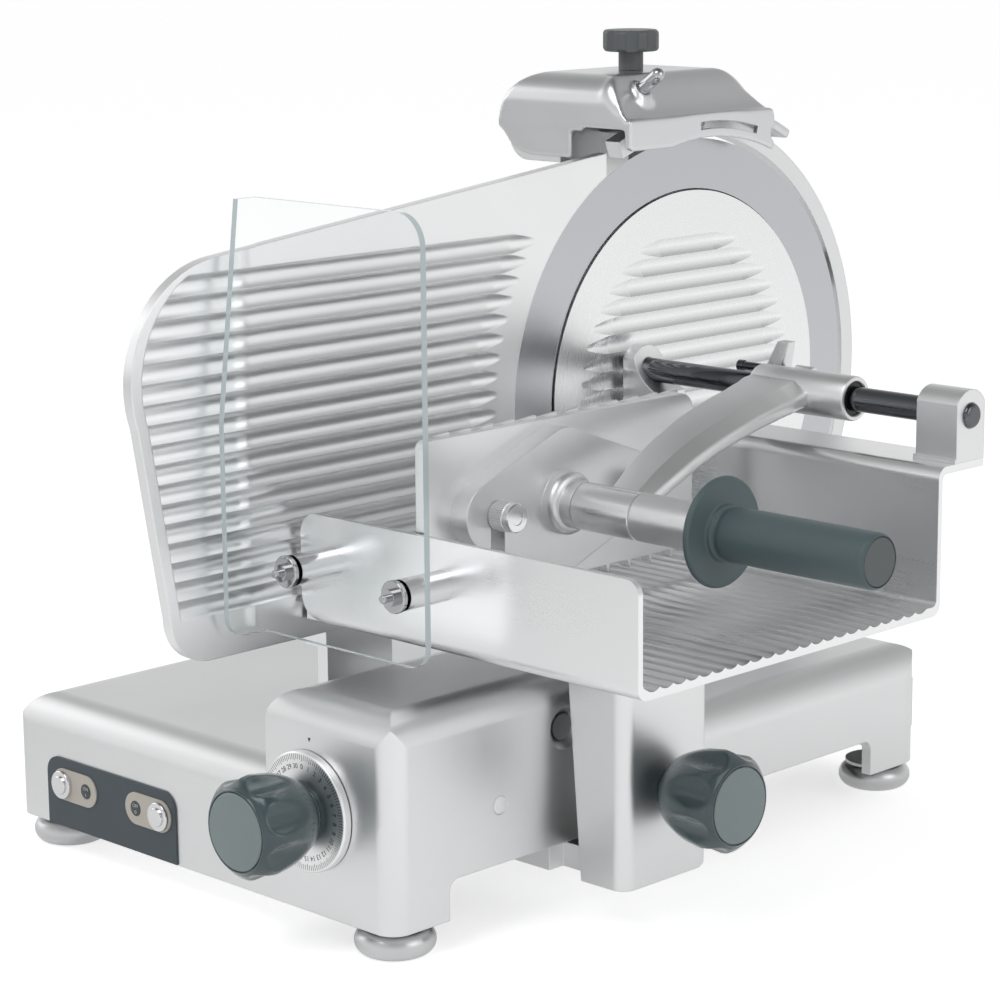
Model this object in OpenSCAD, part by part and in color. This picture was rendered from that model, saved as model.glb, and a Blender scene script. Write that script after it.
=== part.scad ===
// Vertical meat slicer with a hand-pushed carriage, built as separate pieces.
// Lengths are taken from the blade: across from its cutting plane, back from its axis, up from the table.

/* [Blade] */
// Diameter over the cutting edge
blade_d = 350; // [340:1:352]
// Clearance between the blade's lower edge and the deck
blade_low = 13; // [11:0.5:19]
// Thickness of the blade
blade_t = 11.5; // [10:0.5:12]
// Width of the blade that shows outside its fixed fluted cover
land_w = 36.5; // [35:0.5:45]
// Width of the guard ring behind the blade
ring_w = 12.5; // [10:0.5:16]

/* [Base] */
// Height of the feet under the casting
foot_h = 20; // [18:0.5:21]
// Diameter of a foot
foot_d = 51.5; // [44:0.5:52]
// Distance from the blade's plane to the left side
base_left = 242; // [238:1:260]
// Distance from the blade's plane to the right side
base_right = 137; // [136:0.5:139]
// Distance from the blade's axis to the front face
base_front = 424; // [422:1:426]
// Distance from the blade's axis to the rear face
base_rear = 108; // [106:1:120]
// Height of the deck above the table
deck_z = 106; // [105:0.5:108]
// Height of the raised dial housing above the table
block_z = 158; // [154:1:162]
// Wall of the castings
cast_t = 8; // [7:0.5:8.5]

/* [Gauge plate] */
// Distance from the blade's axis to the plate's front rim
gauge_front = 502.5; // [496:0.5:510]
// Thickness of the plate
gauge_t = 8; // [7:0.5:9]
// Height of the plate's lower edge above the table
gauge_low_z = 175.5; // [173:0.5:180]
// Pitch of the flutes
flute_pitch = 12.5; // [12:0.1:13]
// Number of flutes
flute_n = 17; // [14:1:17]
// How far the plate opens for the thickest slice
slice_max = 22; // [16:1:22]

/* [Dial] */
// Diameter of the numbered disc
dial_d = 77; // [70:1:78]
// Diameter of a lobed knob
knob_d = 66; // [60:1:68]
// Length of a lobed knob
knob_l = 50; // [44:1:52]
// Turn of the dial from closed to open, in degrees
dial_turn = 340; // [300:5:345]

/* [Carriage] */
// Length of the tray across the machine
tray_w = 287.5; // [280:0.5:292]
// Distance from the blade's axis to the tray's front wall
tray_front = 372.3; // [371:0.1:374]
// Distance from the blade's axis to the tray's rear flange
tray_rear = 43; // [41:0.5:45]
// Height of the tray floor's ridges above the table
tray_z = 194; // [193:0.5:196]
// Height of the front wall above the table
wall_z = 259; // [250:1:262]
// Height of the rear flange above the table
flange_z = 283.5; // [281:0.5:285]
// Thickness of the tray's walls
tray_t = 4; // [3.5:0.5:4.5]
// Pitch of the floor's ridges
ridge_pitch = 11.5; // [11:0.1:13]
// Diameter of the main guide rod under the base
guide_d = 20; // [18:0.5:20]

/* [Press] */
// Diameter of the chrome rod that the press slides on
rod_d = 16.5; // [15:0.5:17]
// Height of the chrome rod above the table
rod_z = 313; // [312:0.5:315]
// Outer diameter of the sleeve
sleeve_d = 30; // [29:0.5:31]
// Height of the toothed plate
press_h = 104; // [96:1:105]
// Length of the toothed plate along the machine
press_w = 246; // [240:1:251]
// Diameter of the grip
grip_d = 34; // [30:0.5:36]
// Diameter of the hand guard disc
disc_d = 68.5; // [60:0.5:76]

/* [Guard] */
// Width of the clear guard
guard_w = 150; // [140:1:152]
// Height of the clear guard
guard_h = 272; // [250:1:274]
// Thickness of the clear guard
guard_t = 4.5; // [4:0.5:5]

/* [Sharpener] */
// Height of the hood over the guard ring
hood_h = 32; // [30:0.5:35]
// Length of the hood across the machine
hood_w = 127; // [125:1:130]
// Depth of the hood along the machine
hood_l = 155; // [150:1:157]

/* [Fits] */
// Radial clearance of a running fit
run_gap = 0.05; // [0.03:0.01:0.08]
// Clearance between pieces that only lie beside each other
free_gap = 0.3; // [0.3:0.05:0.4]

/* [Hidden] */
$fn = 96;
over = 1;
// Small rounding of turned edges
edge_r = 1;
blade_r = blade_d / 2;
axis_z = deck_z + blade_low + blade_r;
cover_d = blade_d - 2 * land_w;
ring_gap = 3.5;
ring_in = blade_r + ring_gap;
ring_r = ring_in + ring_w;
foot_r = foot_d / 2;

// End of the grip, the part's furthest point on the right
grip_end = 374;
// The origin is on the table, under the middle of the part's outer box
origin_x = (base_left - grip_end) / 2;
origin_y = (gauge_front - ring_r) / 2;

module place() translate([origin_x, origin_y, 0]) children();

// Shapes drawn in two dimensions and carried along one axis
module along_x(a, b) translate([a, 0, 0]) rotate([90, 0, 90]) linear_extrude(b - a) children();
module along_y(a, b) translate([0, b, 0]) rotate([90, 0, 0]) linear_extrude(b - a) children();
module along_z(a, b) translate([0, 0, a]) linear_extrude(b - a) children();
module turned_x(x, y, z) translate([x, y, z]) rotate([0, 90, 0]) rotate_extrude() children();
module turned_front(x, y, z) translate([x, y, z]) rotate([90, 0, 0]) rotate_extrude() children();
module rod_x(a, b, y, z, r) translate([a, y, z]) rotate([0, 90, 0]) cylinder(h = b - a, r = r);
module rod_y(a, b, x, z, r) translate([x, b, z]) rotate([90, 0, 0]) cylinder(h = b - a, r = r);
module rod_z(a, b, x, y, r) translate([x, y, a]) cylinder(h = b - a, r = r);
module cone_x(a, b, y, z, r1, r2)
  translate([a, y, z]) rotate([0, 90, 0]) cylinder(h = b - a, r1 = r1, r2 = r2);
module block(x0, x1, y0, y1, z0, z1) translate([x0, y0, z0]) cube([x1 - x0, y1 - y0, z1 - z0]);

module rect2(x0, x1, y0, y1) translate([x0, y0]) square([x1 - x0, y1 - y0]);

// Rectangle with its own radius at each corner: lower left, lower right, upper right, upper left
module round4(x0, x1, y0, y1, a, b, c, d) {
  difference() {
    rect2(x0, x1, y0, y1);
    if (a > 0) corner(x0, y0, 1, 1, a);
    if (b > 0) corner(x1, y0, -1, 1, b);
    if (c > 0) corner(x1, y1, -1, -1, c);
    if (d > 0) corner(x0, y1, 1, -1, d);
  }
}

// Waste outside a round corner at (x, y); sx and sy point into the shape
module corner(x, y, sx, sy, r) {
  difference() {
    translate([x - (sx > 0 ? over : r), y - (sy > 0 ? over : r)]) square(r + over);
    translate([x + sx * r, y + sy * r]) circle(r);
  }
}

// Straight sides of a belt shape sit this far inside its circles, so that each crosses them
strap_in = 0.02;

// Belt shape round two circles: the tangent points come from the difference of the radii
module strap2(p, q, rp, rq) {
  run = norm(q - p);
  lean = asin((rp - rq) / run);
  heading = atan2(q[1] - p[1], q[0] - p[0]);
  function edge(c, r, side) = c + (r - strap_in) * [cos(heading + side * (90 - lean)),
      sin(heading + side * (90 - lean))];
  translate(p) circle(rp);
  translate(q) circle(rq);
  polygon([edge(p, rp, 1), edge(p, rp, -1), edge(q, rq, -1), edge(q, rq, 1)]);
}

// Base casting

base_corner = 14;
rear_corner = 26;
deck_round = 22;
// Draft of the left side, from the foot of the casting to the deck's rounding
base_draft = 6;
// Raised dial housing: left side, rear end and rounding
block_left = 22;
block_back = 215;
block_round = 24;
block_round_r = 20;
// Legs at the right side, left by the cut for the carriage foot
leg_z = 46;
leg_front = 48;
leg_rear = 64;
leg_round = 8;
// Inset of the feet from the sides, and the boss over each foot stud
foot_inset = 26;
boss_r = 12;
boss_z = 32;
// Screw bosses for the bottom plate
plate_boss_r = 6;
plate_screw_r = 2;
plate_boss_side = 46;
plate_boss_front = 190;
plate_boss_rear = 46;
feet_xy = [
  for (x = [-base_left + foot_inset, base_right - foot_inset])
    for (y = [-base_front + foot_inset, base_rear - foot_inset]) [x, y]
];
plate_right = 40;
plate_screw_xy = [
  for (x = [-base_left + plate_boss_side, plate_right - plate_boss_r - edge_r])
    for (y = [-base_front + plate_boss_front, base_rear - plate_boss_rear]) [x, y]
];
deck_under = deck_z - cast_t;

module deck_profile(t) {
  r = deck_round - t / 2;
  top = deck_z - t;
  left = -base_left + base_draft + t;
  right = base_right - t;
  polygon([
    [-base_left + t, foot_h - (t > 0 ? over : 0)], [right, foot_h - (t > 0 ? over : 0)],
    [right, top - r], [right - r, top], [left + r, top], [left, top - r]
  ]);
  translate([left + r, top - r]) circle(r);
  translate([right - r, top - r]) circle(r);
}

module deck_solid(t) {
  intersection() {
    along_y(-base_front + t, base_rear - t) deck_profile(t);
    along_x(-base_left, base_right)
      round4(-base_front + t, base_rear - t, foot_h - over, deck_z - t, 0, 0, deck_round - t / 2,
          deck_round - t / 2);
    along_z(foot_h - (t > 0 ? over : 0), deck_z)
      round4(-base_left + t, base_right - t, -base_front + t, base_rear - t,
             base_corner - t / 2, base_corner - t / 2, rear_corner - t, rear_corner - t);
  }
}

module block_solid(t) {
  low = t > 0 ? foot_h - over : foot_h;
  intersection() {
    along_y(-base_front + t, -block_back - t)
      round4(block_left + t, base_right - t, low, block_z - t, 0, 0, block_round_r - t / 2,
          block_round - t / 2);
    along_x(block_left, base_right)
      round4(-base_front + t, -block_back - t, low - over, block_z - t, 0, 0, block_round_r - t / 2,
          block_round_r - t / 2);
    along_z(low, block_z)
      round4(block_left + t, base_right - t, -base_front + t, -block_back - t,
             edge_r, base_corner - t / 2, edge_r, edge_r);
  }
}

// Guide rods under the base that the carriage foot slides on
guide_x = 114;
guide_z = 62;
guide_r = guide_d / 2;
steady_x = 62;
steady_z = 34.5;
steady_r = 6;
lug_front = 40;
lug_rear = 48;
lug_t = 13;
steady_lug_t = 8;
guide_seat = 3;

module guide_lugs() {
  spans = [
    [-base_front + cast_t - over, -base_front + lug_front],
    [base_rear - lug_rear, base_rear - cast_t + over]
  ];
  for (span = spans) {
    block(guide_x - lug_t, base_right - cast_t + over, span[0], span[1], guide_z - guide_r - cast_t,
        guide_z + guide_r + cast_t);
    block(steady_x - steady_lug_t, steady_x + steady_lug_t, span[0], span[1],
          steady_z - steady_lug_t, steady_z + steady_lug_t);
  }
}

// Rods across the base that the gauge slide runs on
gauge_y = 321;
gauge_rod_r = 6;
gauge_rod_z = 74;
gauge_rod_half = 15;
gauge_lug_t = 12;
gauge_lug_left = 70;
gauge_lug_right = 18;
gauge_lug_half = 24;
gauge_seat = 2;
// Bracket below the gauge plate and the slot that it passes through
bracket_half = 29;
bracket_t = 9.5;
bracket_skin = 0.5;
slot_gap = 3;
slide_half = 32;
slide_z0 = 50;
slide_z1 = 96;
slide_left = 12;
slide_right = 16;

module gauge_lugs() {
  for (x = [-gauge_lug_left, gauge_lug_right])
    block(x, x + gauge_lug_t, -gauge_y - gauge_lug_half, -gauge_y + gauge_lug_half,
          gauge_rod_z - gauge_rod_r - gauge_seat * 2, deck_under + over);
}

// Dial axis, from the blade's plane and the table
dial_x = 63.2;
dial_z = 86.5;
dial_r = dial_d / 2;
spindle_r = 7;
bush_r = 11;
bush_flange_r = 15;
bush_flange_t = 3;
// Room round the cam inside the dial housing
cam_space = 0.7;

// Control panel on the front, low on the left
panel_left = 205;
panel_right = 68;
panel_z = 68.6;
panel_t = 1.2;
panel_round = 12;
button_z = 50.8;
button_gap = 0.25;
on_x = -186.5;
off_x = -83;
switch_r = 8;
switch_x = [on_x, off_x];

// Countersunk holes in the side of the dial housing
side_hole_y = 272;
side_hole_z = 122;
side_hole_r = 14;
side_hole_bore = 5;
// The plug in the larger hole: its front radius and how deep it lies
side_plug_r = 8.6;
side_hole_sink = 3;
side_screw_y = 331;
side_screw_z = 84.3;
side_screw_r = 6;
side_screw_shank = 3;

// Gland in the rear wall for the supply cord, which is not part of the object
gland_x = -190;
gland_z = 55;
gland_r = 10;

// Bolts that hold the blade support, in the deck from below
support_x = 33;
support_bolt_gap = 62;
support_bolt_y = [0, support_bolt_gap];
bolt_r = 4;

module base_casting() {
  color([0.80, 0.81, 0.82]) place() difference() {
    union() {
      difference() {
        union() {
          deck_solid(0);
          block_solid(0);
        }
        deck_solid(cast_t);
        block_solid(cast_t);
      }
      for (p = feet_xy) rod_z(boss_z, deck_under + over, p[0], p[1], boss_r);
      for (p = plate_screw_xy) rod_z(foot_h + plate_t, deck_under + over, p[0], p[1], plate_boss_r);
      guide_lugs();
      gauge_lugs();
    }
    for (p = feet_xy) rod_z(foot_h - over, stud_z + over, p[0], p[1], stud_r + run_gap);
    for (p = plate_screw_xy) rod_z(foot_h, foot_h + plate_screw_l + over, p[0], p[1],
        plate_screw_r + run_gap);
    along_x(base_right - cast_t - over, base_right + over)
      round4(-base_front + leg_front, base_rear - leg_rear, foot_h - over, leg_z, 0, 0, leg_round,
          leg_round);
    rod_y(-base_front + cast_t - guide_seat, base_rear - cast_t + guide_seat, guide_x, guide_z,
        guide_r + run_gap);
    rod_y(-base_front + cast_t - guide_seat, base_rear - cast_t + guide_seat, steady_x, steady_z,
        steady_r + run_gap);
    for (s = [-1, 1])
      rod_x(-gauge_lug_left + gauge_seat, gauge_lug_right + gauge_lug_t - gauge_seat,
            -gauge_y + s * gauge_rod_half, gauge_rod_z, gauge_rod_r + run_gap);
    block(-bracket_t - bracket_skin - slice_max - slot_gap, slot_gap,
          -gauge_y - bracket_half - slot_gap, -gauge_y + bracket_half + slot_gap,
          deck_under - over, deck_z + over);
    rod_y(-base_front - over, -base_front + cast_t + over, dial_x, dial_z, bush_r + run_gap);
    rod_y(-cam_y - cam_t - cam_space, -cam_y + cam_space, dial_x, dial_z, cam_r + cam_space);
    for (x = switch_x) rod_y(-base_front - over, -base_front + cast_t + over, x, button_z,
        switch_r + button_gap);
    cone_x(base_right - cast_t, base_right, -side_hole_y, side_hole_z, side_hole_bore, side_hole_r);
    rod_x(base_right - cast_t - over, base_right - cast_t + over, -side_hole_y, side_hole_z,
        side_hole_bore);
    cone_x(base_right - cast_t, base_right, -side_screw_y, side_screw_z, side_screw_shank, side_screw_r);
    rod_x(base_right - cast_t - over, base_right - cast_t + over, -side_screw_y, side_screw_z,
        side_screw_shank);
    rod_y(base_rear - cast_t - over, base_rear + over, gland_x, gland_z, gland_r + run_gap);
    for (y = support_bolt_y) rod_z(deck_under - over, deck_z + over, -support_x, y, bolt_r + run_gap);
  }
}

// Bottom plate, feet and their fasteners

plate_t = 2;
plate_gap = 1;
plate_screw_l = 12;
plate_head_r = 4;
plate_head_t = 2.5;
vent_n = 7;
vent_w = 5;
vent_pitch = 15;
vent_l = 60;
vent_y = 60;

module bottom_plate() {
  color([0.60, 0.61, 0.62]) place() difference() {
    along_z(foot_h, foot_h + plate_t)
      rect2(-base_left + cast_t + plate_gap, plate_right, -base_front + cast_t + plate_gap,
          base_rear - cast_t - plate_gap);
    for (p = feet_xy) rod_z(foot_h - over, foot_h + plate_t + over, p[0], p[1], foot_r + plate_gap);
    for (p = plate_screw_xy) rod_z(foot_h - over, foot_h + plate_t + over, p[0], p[1],
        plate_screw_r + run_gap);
    for (i = [0 : vent_n - 1])
      block(-base_left / 2 - vent_l / 2, -base_left / 2 + vent_l / 2, -vent_y + i * vent_pitch,
            -vent_y + i * vent_pitch + vent_w, foot_h - over, foot_h + plate_t + over);
  }
}

module plate_screws() {
  color([0.70, 0.71, 0.72]) place() for (p = plate_screw_xy) {
    rod_z(foot_h - plate_head_t, foot_h, p[0], p[1], plate_head_r);
    rod_z(foot_h, foot_h + plate_screw_l, p[0], p[1], plate_screw_r);
  }
}

foot_bulge = 8.5;
neck_r = 21;
neck_t = 2.5;
stud_r = 5;
stud_z = 48;
stud_low = 5;
nut_r = 9.2;
nut_t = 8;

module feet() {
  color([0.62, 0.64, 0.65]) place() for (p = feet_xy)
    translate([p[0], p[1], 0]) rotate_extrude() difference() {
      union() {
        rect2(0, foot_r - foot_bulge, 0, 2 * foot_bulge);
        translate([foot_r - foot_bulge, foot_bulge]) circle(foot_bulge);
        rect2(0, neck_r, foot_h - neck_t, foot_h);
        rect2(0, neck_r - neck_t, 2 * foot_bulge - over, foot_h);
      }
      rect2(0, stud_r + run_gap, stud_low, foot_h + over);
      rect2(-foot_r, 0, -over, foot_h + over);
    }
}

module foot_studs() {
  color([0.78, 0.78, 0.80]) place() for (p = feet_xy) {
    rod_z(stud_low, stud_z, p[0], p[1], stud_r);
    translate([p[0], p[1], foot_h]) cylinder(h = nut_t, r = nut_r, $fn = 6);
  }
}

// Control panel, its buttons and what is behind them

pill_l = 47;
pill_h = 22;
pill_t = 1;
pill_shift = 12.5;
pill_x = [on_x + pill_shift, off_x - pill_shift];
switch_ring_r = 9.8;
switch_ring_t = 3;
switch_l = 30;
button_r = 6.4;
button_out = 4.6;
button_travel = 2.5;
button_l = 12;

module control_panel() {
  color([0.27, 0.31, 0.34]) place() difference() {
    along_y(-base_front - panel_t, -base_front)
      round4(-panel_left, -panel_right, foot_h + over / 2, panel_z, 0, 0, panel_round, panel_round);
    for (x = switch_x) rod_y(-base_front - panel_t - over, -base_front + over, x, button_z,
        switch_r + button_gap);
  }
}

module pill_surrounds() {
  color([0.80, 0.77, 0.73]) place() for (i = [0, 1]) difference() {
    along_y(-base_front - panel_t - pill_t, -base_front - panel_t)
      strap2([pill_x[i] - (pill_l - pill_h) / 2, button_z], [pill_x[i] + (pill_l - pill_h) / 2, button_z],
             pill_h / 2, pill_h / 2);
    rod_y(-base_front - panel_t - pill_t - over, -base_front, switch_x[i], button_z, switch_r + button_gap);
  }
}

module switch_bodies() {
  face = base_front + panel_t + pill_t;
  color([0.75, 0.75, 0.76]) place() for (x = switch_x) difference() {
    union() {
      turned_front(x, -face, button_z) round4(0, switch_ring_r, 0, switch_ring_t, 0, 0, edge_r, 0);
      rod_y(-face, -face + switch_l, x, button_z, switch_r);
    }
    rod_y(-face - switch_ring_t - over, -face + button_l + button_travel, x, button_z, button_r + run_gap);
  }
}

module push_button(x) {
  face = base_front + panel_t + pill_t;
  color([0.86, 0.86, 0.87]) place() turned_front(x, -face + button_l, button_z)
    round4(0, button_r, 0, button_l + button_out, 0, 0, edge_r, 0);
}

module on_button() push_button(on_x);
module off_button() push_button(off_x);

gland_l = 24;
gland_nut_r = 15;
gland_nut_t = 7;
gland_bore = 4.5;

module cord_gland() {
  color([0.12, 0.12, 0.13]) place() difference() {
    union() {
      rod_y(base_rear - cast_t - gland_nut_t, base_rear + gland_nut_t, gland_x, gland_z, gland_r);
      translate([gland_x, base_rear + gland_nut_t, gland_z]) rotate([90, 0, 0])
        cylinder(h = gland_nut_t, r = gland_nut_r, $fn = 6);
      translate([gland_x, base_rear - cast_t, gland_z]) rotate([90, 0, 0])
        cylinder(h = gland_nut_t, r = gland_nut_r, $fn = 6);
      translate([gland_x, base_rear + gland_nut_t, gland_z]) rotate([-90, 0, 0])
        cylinder(h = gland_l - gland_nut_t, r1 = gland_r, r2 = gland_bore + gland_bore / 2);
    }
    rod_y(base_rear - cast_t - gland_nut_t - over, base_rear + gland_l + over, gland_x, gland_z,
        gland_bore);
  }
}

module side_screws() {
  color([0.80, 0.80, 0.81]) place() {
    cone_x(base_right - cast_t + free_gap, base_right - free_gap, -side_screw_y, side_screw_z,
           side_screw_shank, side_screw_r - free_gap);
    cone_x(base_right - cast_t + free_gap, base_right - side_hole_sink, -side_hole_y, side_hole_z,
           side_hole_bore, side_plug_r);
  }
}

module guide_rods() {
  color([0.84, 0.84, 0.86]) place() {
    rod_y(-base_front + cast_t - guide_seat, base_rear - cast_t + guide_seat, guide_x, guide_z, guide_r);
    rod_y(-base_front + cast_t - guide_seat, base_rear - cast_t + guide_seat, steady_x, steady_z, steady_r);
  }
}

module gauge_rods() {
  color([0.84, 0.84, 0.86]) place() for (s = [-1, 1])
    rod_x(-gauge_lug_left + gauge_seat, gauge_lug_right + gauge_lug_t - gauge_seat,
          -gauge_y + s * gauge_rod_half, gauge_rod_z, gauge_rod_r);
}

// Blade support, drive and motor, behind the blade

shaft_r = 17.5;
bore_r = 6.5;
hub_r = 45;
hub_t = 8;
spigot_r = 20;
web_t = 3.5;
rear_gap = 2;
// Planes behind the blade, counted to the left
blade_back = blade_t;
hub_back = blade_back + hub_t;
plate_front = hub_back + rear_gap;
support_t = 22;
support_back = plate_front + support_t;
bearing_r = 31;
bearing_t = 9;
bearing_step = 2;
support_hub_r = 62;
support_low_r = 50;
motor_y = 26;
motor_z = 150;
motor_r = 43;
motor_l = 122;
motor_pulley_r = 20;
blade_pulley_r = 45;
pulley_t = 20;
belt_w = 16;
belt_t = 4;
drive_t = 4;
drive_depth = 34;
drive_back = support_back + drive_depth;
motor_shaft_r = 7;
support_foot_r = 14;
support_lip = 10;

hub_yz = [0, axis_z];
motor_yz = [motor_y, motor_z];

module blade_support() {
  color([0.78, 0.79, 0.80]) place() difference() {
    union() {
      intersection() {
        along_x(-support_back, -plate_front) strap2(hub_yz, motor_yz, support_hub_r, support_low_r);
        block(-support_back - over, 0, -ring_r, ring_r, deck_z, 2 * axis_z);
      }
      block(-support_back, -plate_front, motor_y - support_low_r - support_lip,
            motor_y + support_low_r + support_lip, deck_z, deck_z + support_lip);
    }
    rod_x(-support_back - over, over, 0, axis_z, bearing_r + run_gap);
    for (y = support_bolt_y)
      rod_z(deck_z - over, deck_z + support_foot_r, -support_x, y, bolt_r + run_gap);
    rod_x(-support_back - over, over, motor_y, motor_z, motor_pulley_r / 2);
  }
}

module blade_bearings() {
  color([0.70, 0.71, 0.73]) place() for (i = [0, 1]) {
    x = -support_back + bearing_step / 2 + i * (bearing_t + bearing_step);
    difference() {
      rod_x(x, x + bearing_t, 0, axis_z, bearing_r);
      rod_x(x - over, x + bearing_t + over, 0, axis_z, shaft_r + run_gap);
    }
  }
}

module drive_cover() {
  color([0.76, 0.77, 0.78]) place() intersection() {
    difference() {
      along_x(-drive_back, -support_back) strap2(hub_yz, motor_yz, support_hub_r, support_low_r);
      along_x(-drive_back + drive_t, -support_back + over)
        strap2(hub_yz, motor_yz, support_hub_r - drive_t, support_low_r - drive_t);
      rod_x(-drive_back - over, -drive_back + drive_t + over, motor_y, motor_z, 2 * motor_shaft_r);
      rod_x(-drive_back - over, -drive_back + drive_t + over, 0, axis_z, rod_hole_r);
    }
    block(-drive_back - over, over, -ring_r, ring_r, deck_z, 2 * axis_z);
  }
}

cover_gap = 6;
cover_round = 30;
cover_end_round = 16;
motor_x1 = -drive_back - free_gap;
motor_x0 = motor_x1 - motor_l;
cover_left = motor_x0 - cover_gap - drive_t;

module motor_cover() {
  y0 = motor_y - motor_r - cover_gap;
  y1 = motor_y + motor_r + cover_gap;
  top = motor_z + motor_r + cover_gap;
  color([0.78, 0.79, 0.80]) place() difference() {
    intersection() {
      along_y(y0 - drive_t, y1 + drive_t)
        round4(cover_left, motor_x1, deck_z, top + drive_t, 0, 0, 0, cover_end_round);
      along_x(cover_left, motor_x1)
        round4(y0 - drive_t, y1 + drive_t, deck_z, top + drive_t, 0, 0, cover_round, cover_round);
    }
    intersection() {
      along_y(y0, y1) round4(cover_left + drive_t, motor_x1 + over, deck_z - over, top, 0, 0, 0,
          cover_end_round - drive_t);
      along_x(cover_left, motor_x1 + over)
        round4(y0, y1, deck_z - over, top, 0, 0, cover_round - drive_t, cover_round - drive_t);
    }
  }
}

fin_n = 24;
fin_w = 2;
fin_h = 4;
shield_t = 12;
motor_foot_w = 70;
motor_foot_gap = 18;

module motor() {
  color([0.30, 0.33, 0.36]) place() difference() {
    union() {
      rod_x(motor_x0, motor_x1, motor_y, motor_z, motor_r - fin_h);
      rod_x(motor_x0, motor_x0 + shield_t, motor_y, motor_z, motor_r);
      rod_x(motor_x1 - shield_t, motor_x1, motor_y, motor_z, motor_r);
      for (i = [0 : fin_n - 1])
        translate([motor_x0 + over, motor_y, motor_z]) rotate([i * 360 / fin_n, 0, 0])
          translate([0, -fin_w / 2, 0]) cube([motor_l - 2 * over, fin_w, motor_r - over / 2]);
      block(motor_x0 + motor_foot_gap, motor_x1 - motor_foot_gap, motor_y - motor_foot_w / 2,
            motor_y + motor_foot_w / 2, deck_z, motor_z - motor_r / 2);
    }
    rod_x(motor_x1 - motor_l / 2, motor_x1 + over, motor_y, motor_z, motor_shaft_r + run_gap);
  }
}

belt_space = 5;
belt_x0 = -drive_back + drive_t + belt_space;
belt_x1 = belt_x0 + belt_w;
pulley_x0 = belt_x0 - (pulley_t - belt_w) / 2;
pulley_end = -pulley_x0 + over;
belt_gap = 0.2;
rib_n = 5;
rib_h = 2;
rib_edge = 3;
rib_share = 0.75;

module drive_belt() {
  color([0.08, 0.08, 0.09]) place() difference() {
    along_x(belt_x0, belt_x1) strap2(hub_yz, motor_yz, blade_pulley_r + belt_gap + belt_t,
        motor_pulley_r + belt_gap + belt_t);
    along_x(belt_x0 - over, belt_x1 + over) strap2(hub_yz, motor_yz, blade_pulley_r + belt_gap,
        motor_pulley_r + belt_gap);
  }
}

// Ribbed rim of a pulley as a profile of radius and length
module rib_profile(r, bore) {
  step = (pulley_t - 2 * rib_edge) / rib_n;
  difference() {
    rect2(bore, r, 0, pulley_t);
    for (i = [0 : rib_n - 1]) {
      mid = rib_edge + (i + 0.5) * step;
      wide = rib_share * step;
      polygon([[r + over, mid - wide], [r - rib_h, mid], [r + over, mid + wide]]);
    }
  }
}

module motor_pulley() {
  color([0.55, 0.56, 0.58]) place() {
    turned_x(pulley_x0, motor_y, motor_z) rib_profile(motor_pulley_r, 0);
    rod_x(motor_x1 - motor_l / 2 + over, pulley_x0, motor_y, motor_z, motor_shaft_r);
  }
}

module blade_pulley() {
  color([0.62, 0.63, 0.65]) place() turned_x(pulley_x0, 0, axis_z) rib_profile(blade_pulley_r,
      shaft_r + run_gap);
}

module blade_shaft() {
  color([0.80, 0.80, 0.82]) place() turned_x(-pulley_end, 0, axis_z) difference() {
    union() {
      rect2(0, shaft_r, 0, pulley_end);
      rect2(0, hub_r, pulley_end - hub_back, pulley_end - blade_back);
      rect2(0, spigot_r - run_gap, pulley_end - hub_back, pulley_end - blade_back + web_t);
    }
    rect2(-over, bore_r, -over, pulley_end + over);
    rect2(0, spigot_r + over, pulley_end - blade_back + web_t, pulley_end + over);
  }
}

edge_x = 1.5;
land_step = 1.3;
screw_pcr = 32;
screw_r = 4;
screw_head_r = 7;
screw_head_t = 3.2;
blade_screw_n = 4;
recess_gap = 1.2;

// Blade profile: radius against depth behind the cutting plane
module blade_profile() {
  r1 = blade_r;
  r2 = cover_d / 2 + recess_gap;
  r3 = r2 + land_step;
  polygon([
    [spigot_r, -blade_back], [spigot_r, -blade_back + web_t], [r2 - 2 * web_t, -blade_back + web_t],
    [r2, -blade_back + 2 * web_t], [r2, -edge_x / 2], [r1, -edge_x], [r1 - edge_x / 2, -2 * edge_x],
    [r3, -blade_back + web_t], [r3 - web_t, -blade_back]
  ]);
}

module blade() {
  color([0.66, 0.67, 0.69]) place() difference() {
    turned_x(0, 0, axis_z) blade_profile();
    for (i = [0 : blade_screw_n - 1])
      rotate_blade(i * 360 / blade_screw_n) rod_x(-blade_back - over, 0, screw_pcr, 0, screw_r + run_gap);
  }
}

module rotate_blade(a) translate([0, 0, axis_z]) rotate([a, 0, 0]) children();

module blade_screws() {
  color([0.72, 0.72, 0.74]) place() for (i = [0 : blade_screw_n - 1])
    rotate_blade(i * 360 / blade_screw_n) {
      rod_x(-blade_back, -blade_back + web_t, screw_pcr, 0, screw_r);
      rod_x(-blade_back + web_t, -blade_back + web_t + screw_head_t - over, screw_pcr, 0, screw_head_r);
    }
}

// Hollow flute as a cutter along the machine, running out in a long rounded point at a and at b
flute_r = 9;
flute_land = 0.2;
flute_d = flute_r - sqrt(flute_r * flute_r - flute_pitch * flute_pitch / 4) + flute_land;
flute_run = 24;

module flute(a, b)
  translate([flute_r - flute_d, a, 0]) rotate([-90, 0, 0]) rotate_extrude()
    polygon([
      [0, 0], [flute_r - flute_d, 0], [flute_r, flute_run], [flute_r, b - a - flute_run],
      [flute_r - flute_d, b - a], [0, b - a]
    ]);

// Fixed cover in front of the blade, held by a rod through the hollow shaft

cover_face = 0.8;
cover_back = 4.5;
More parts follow.
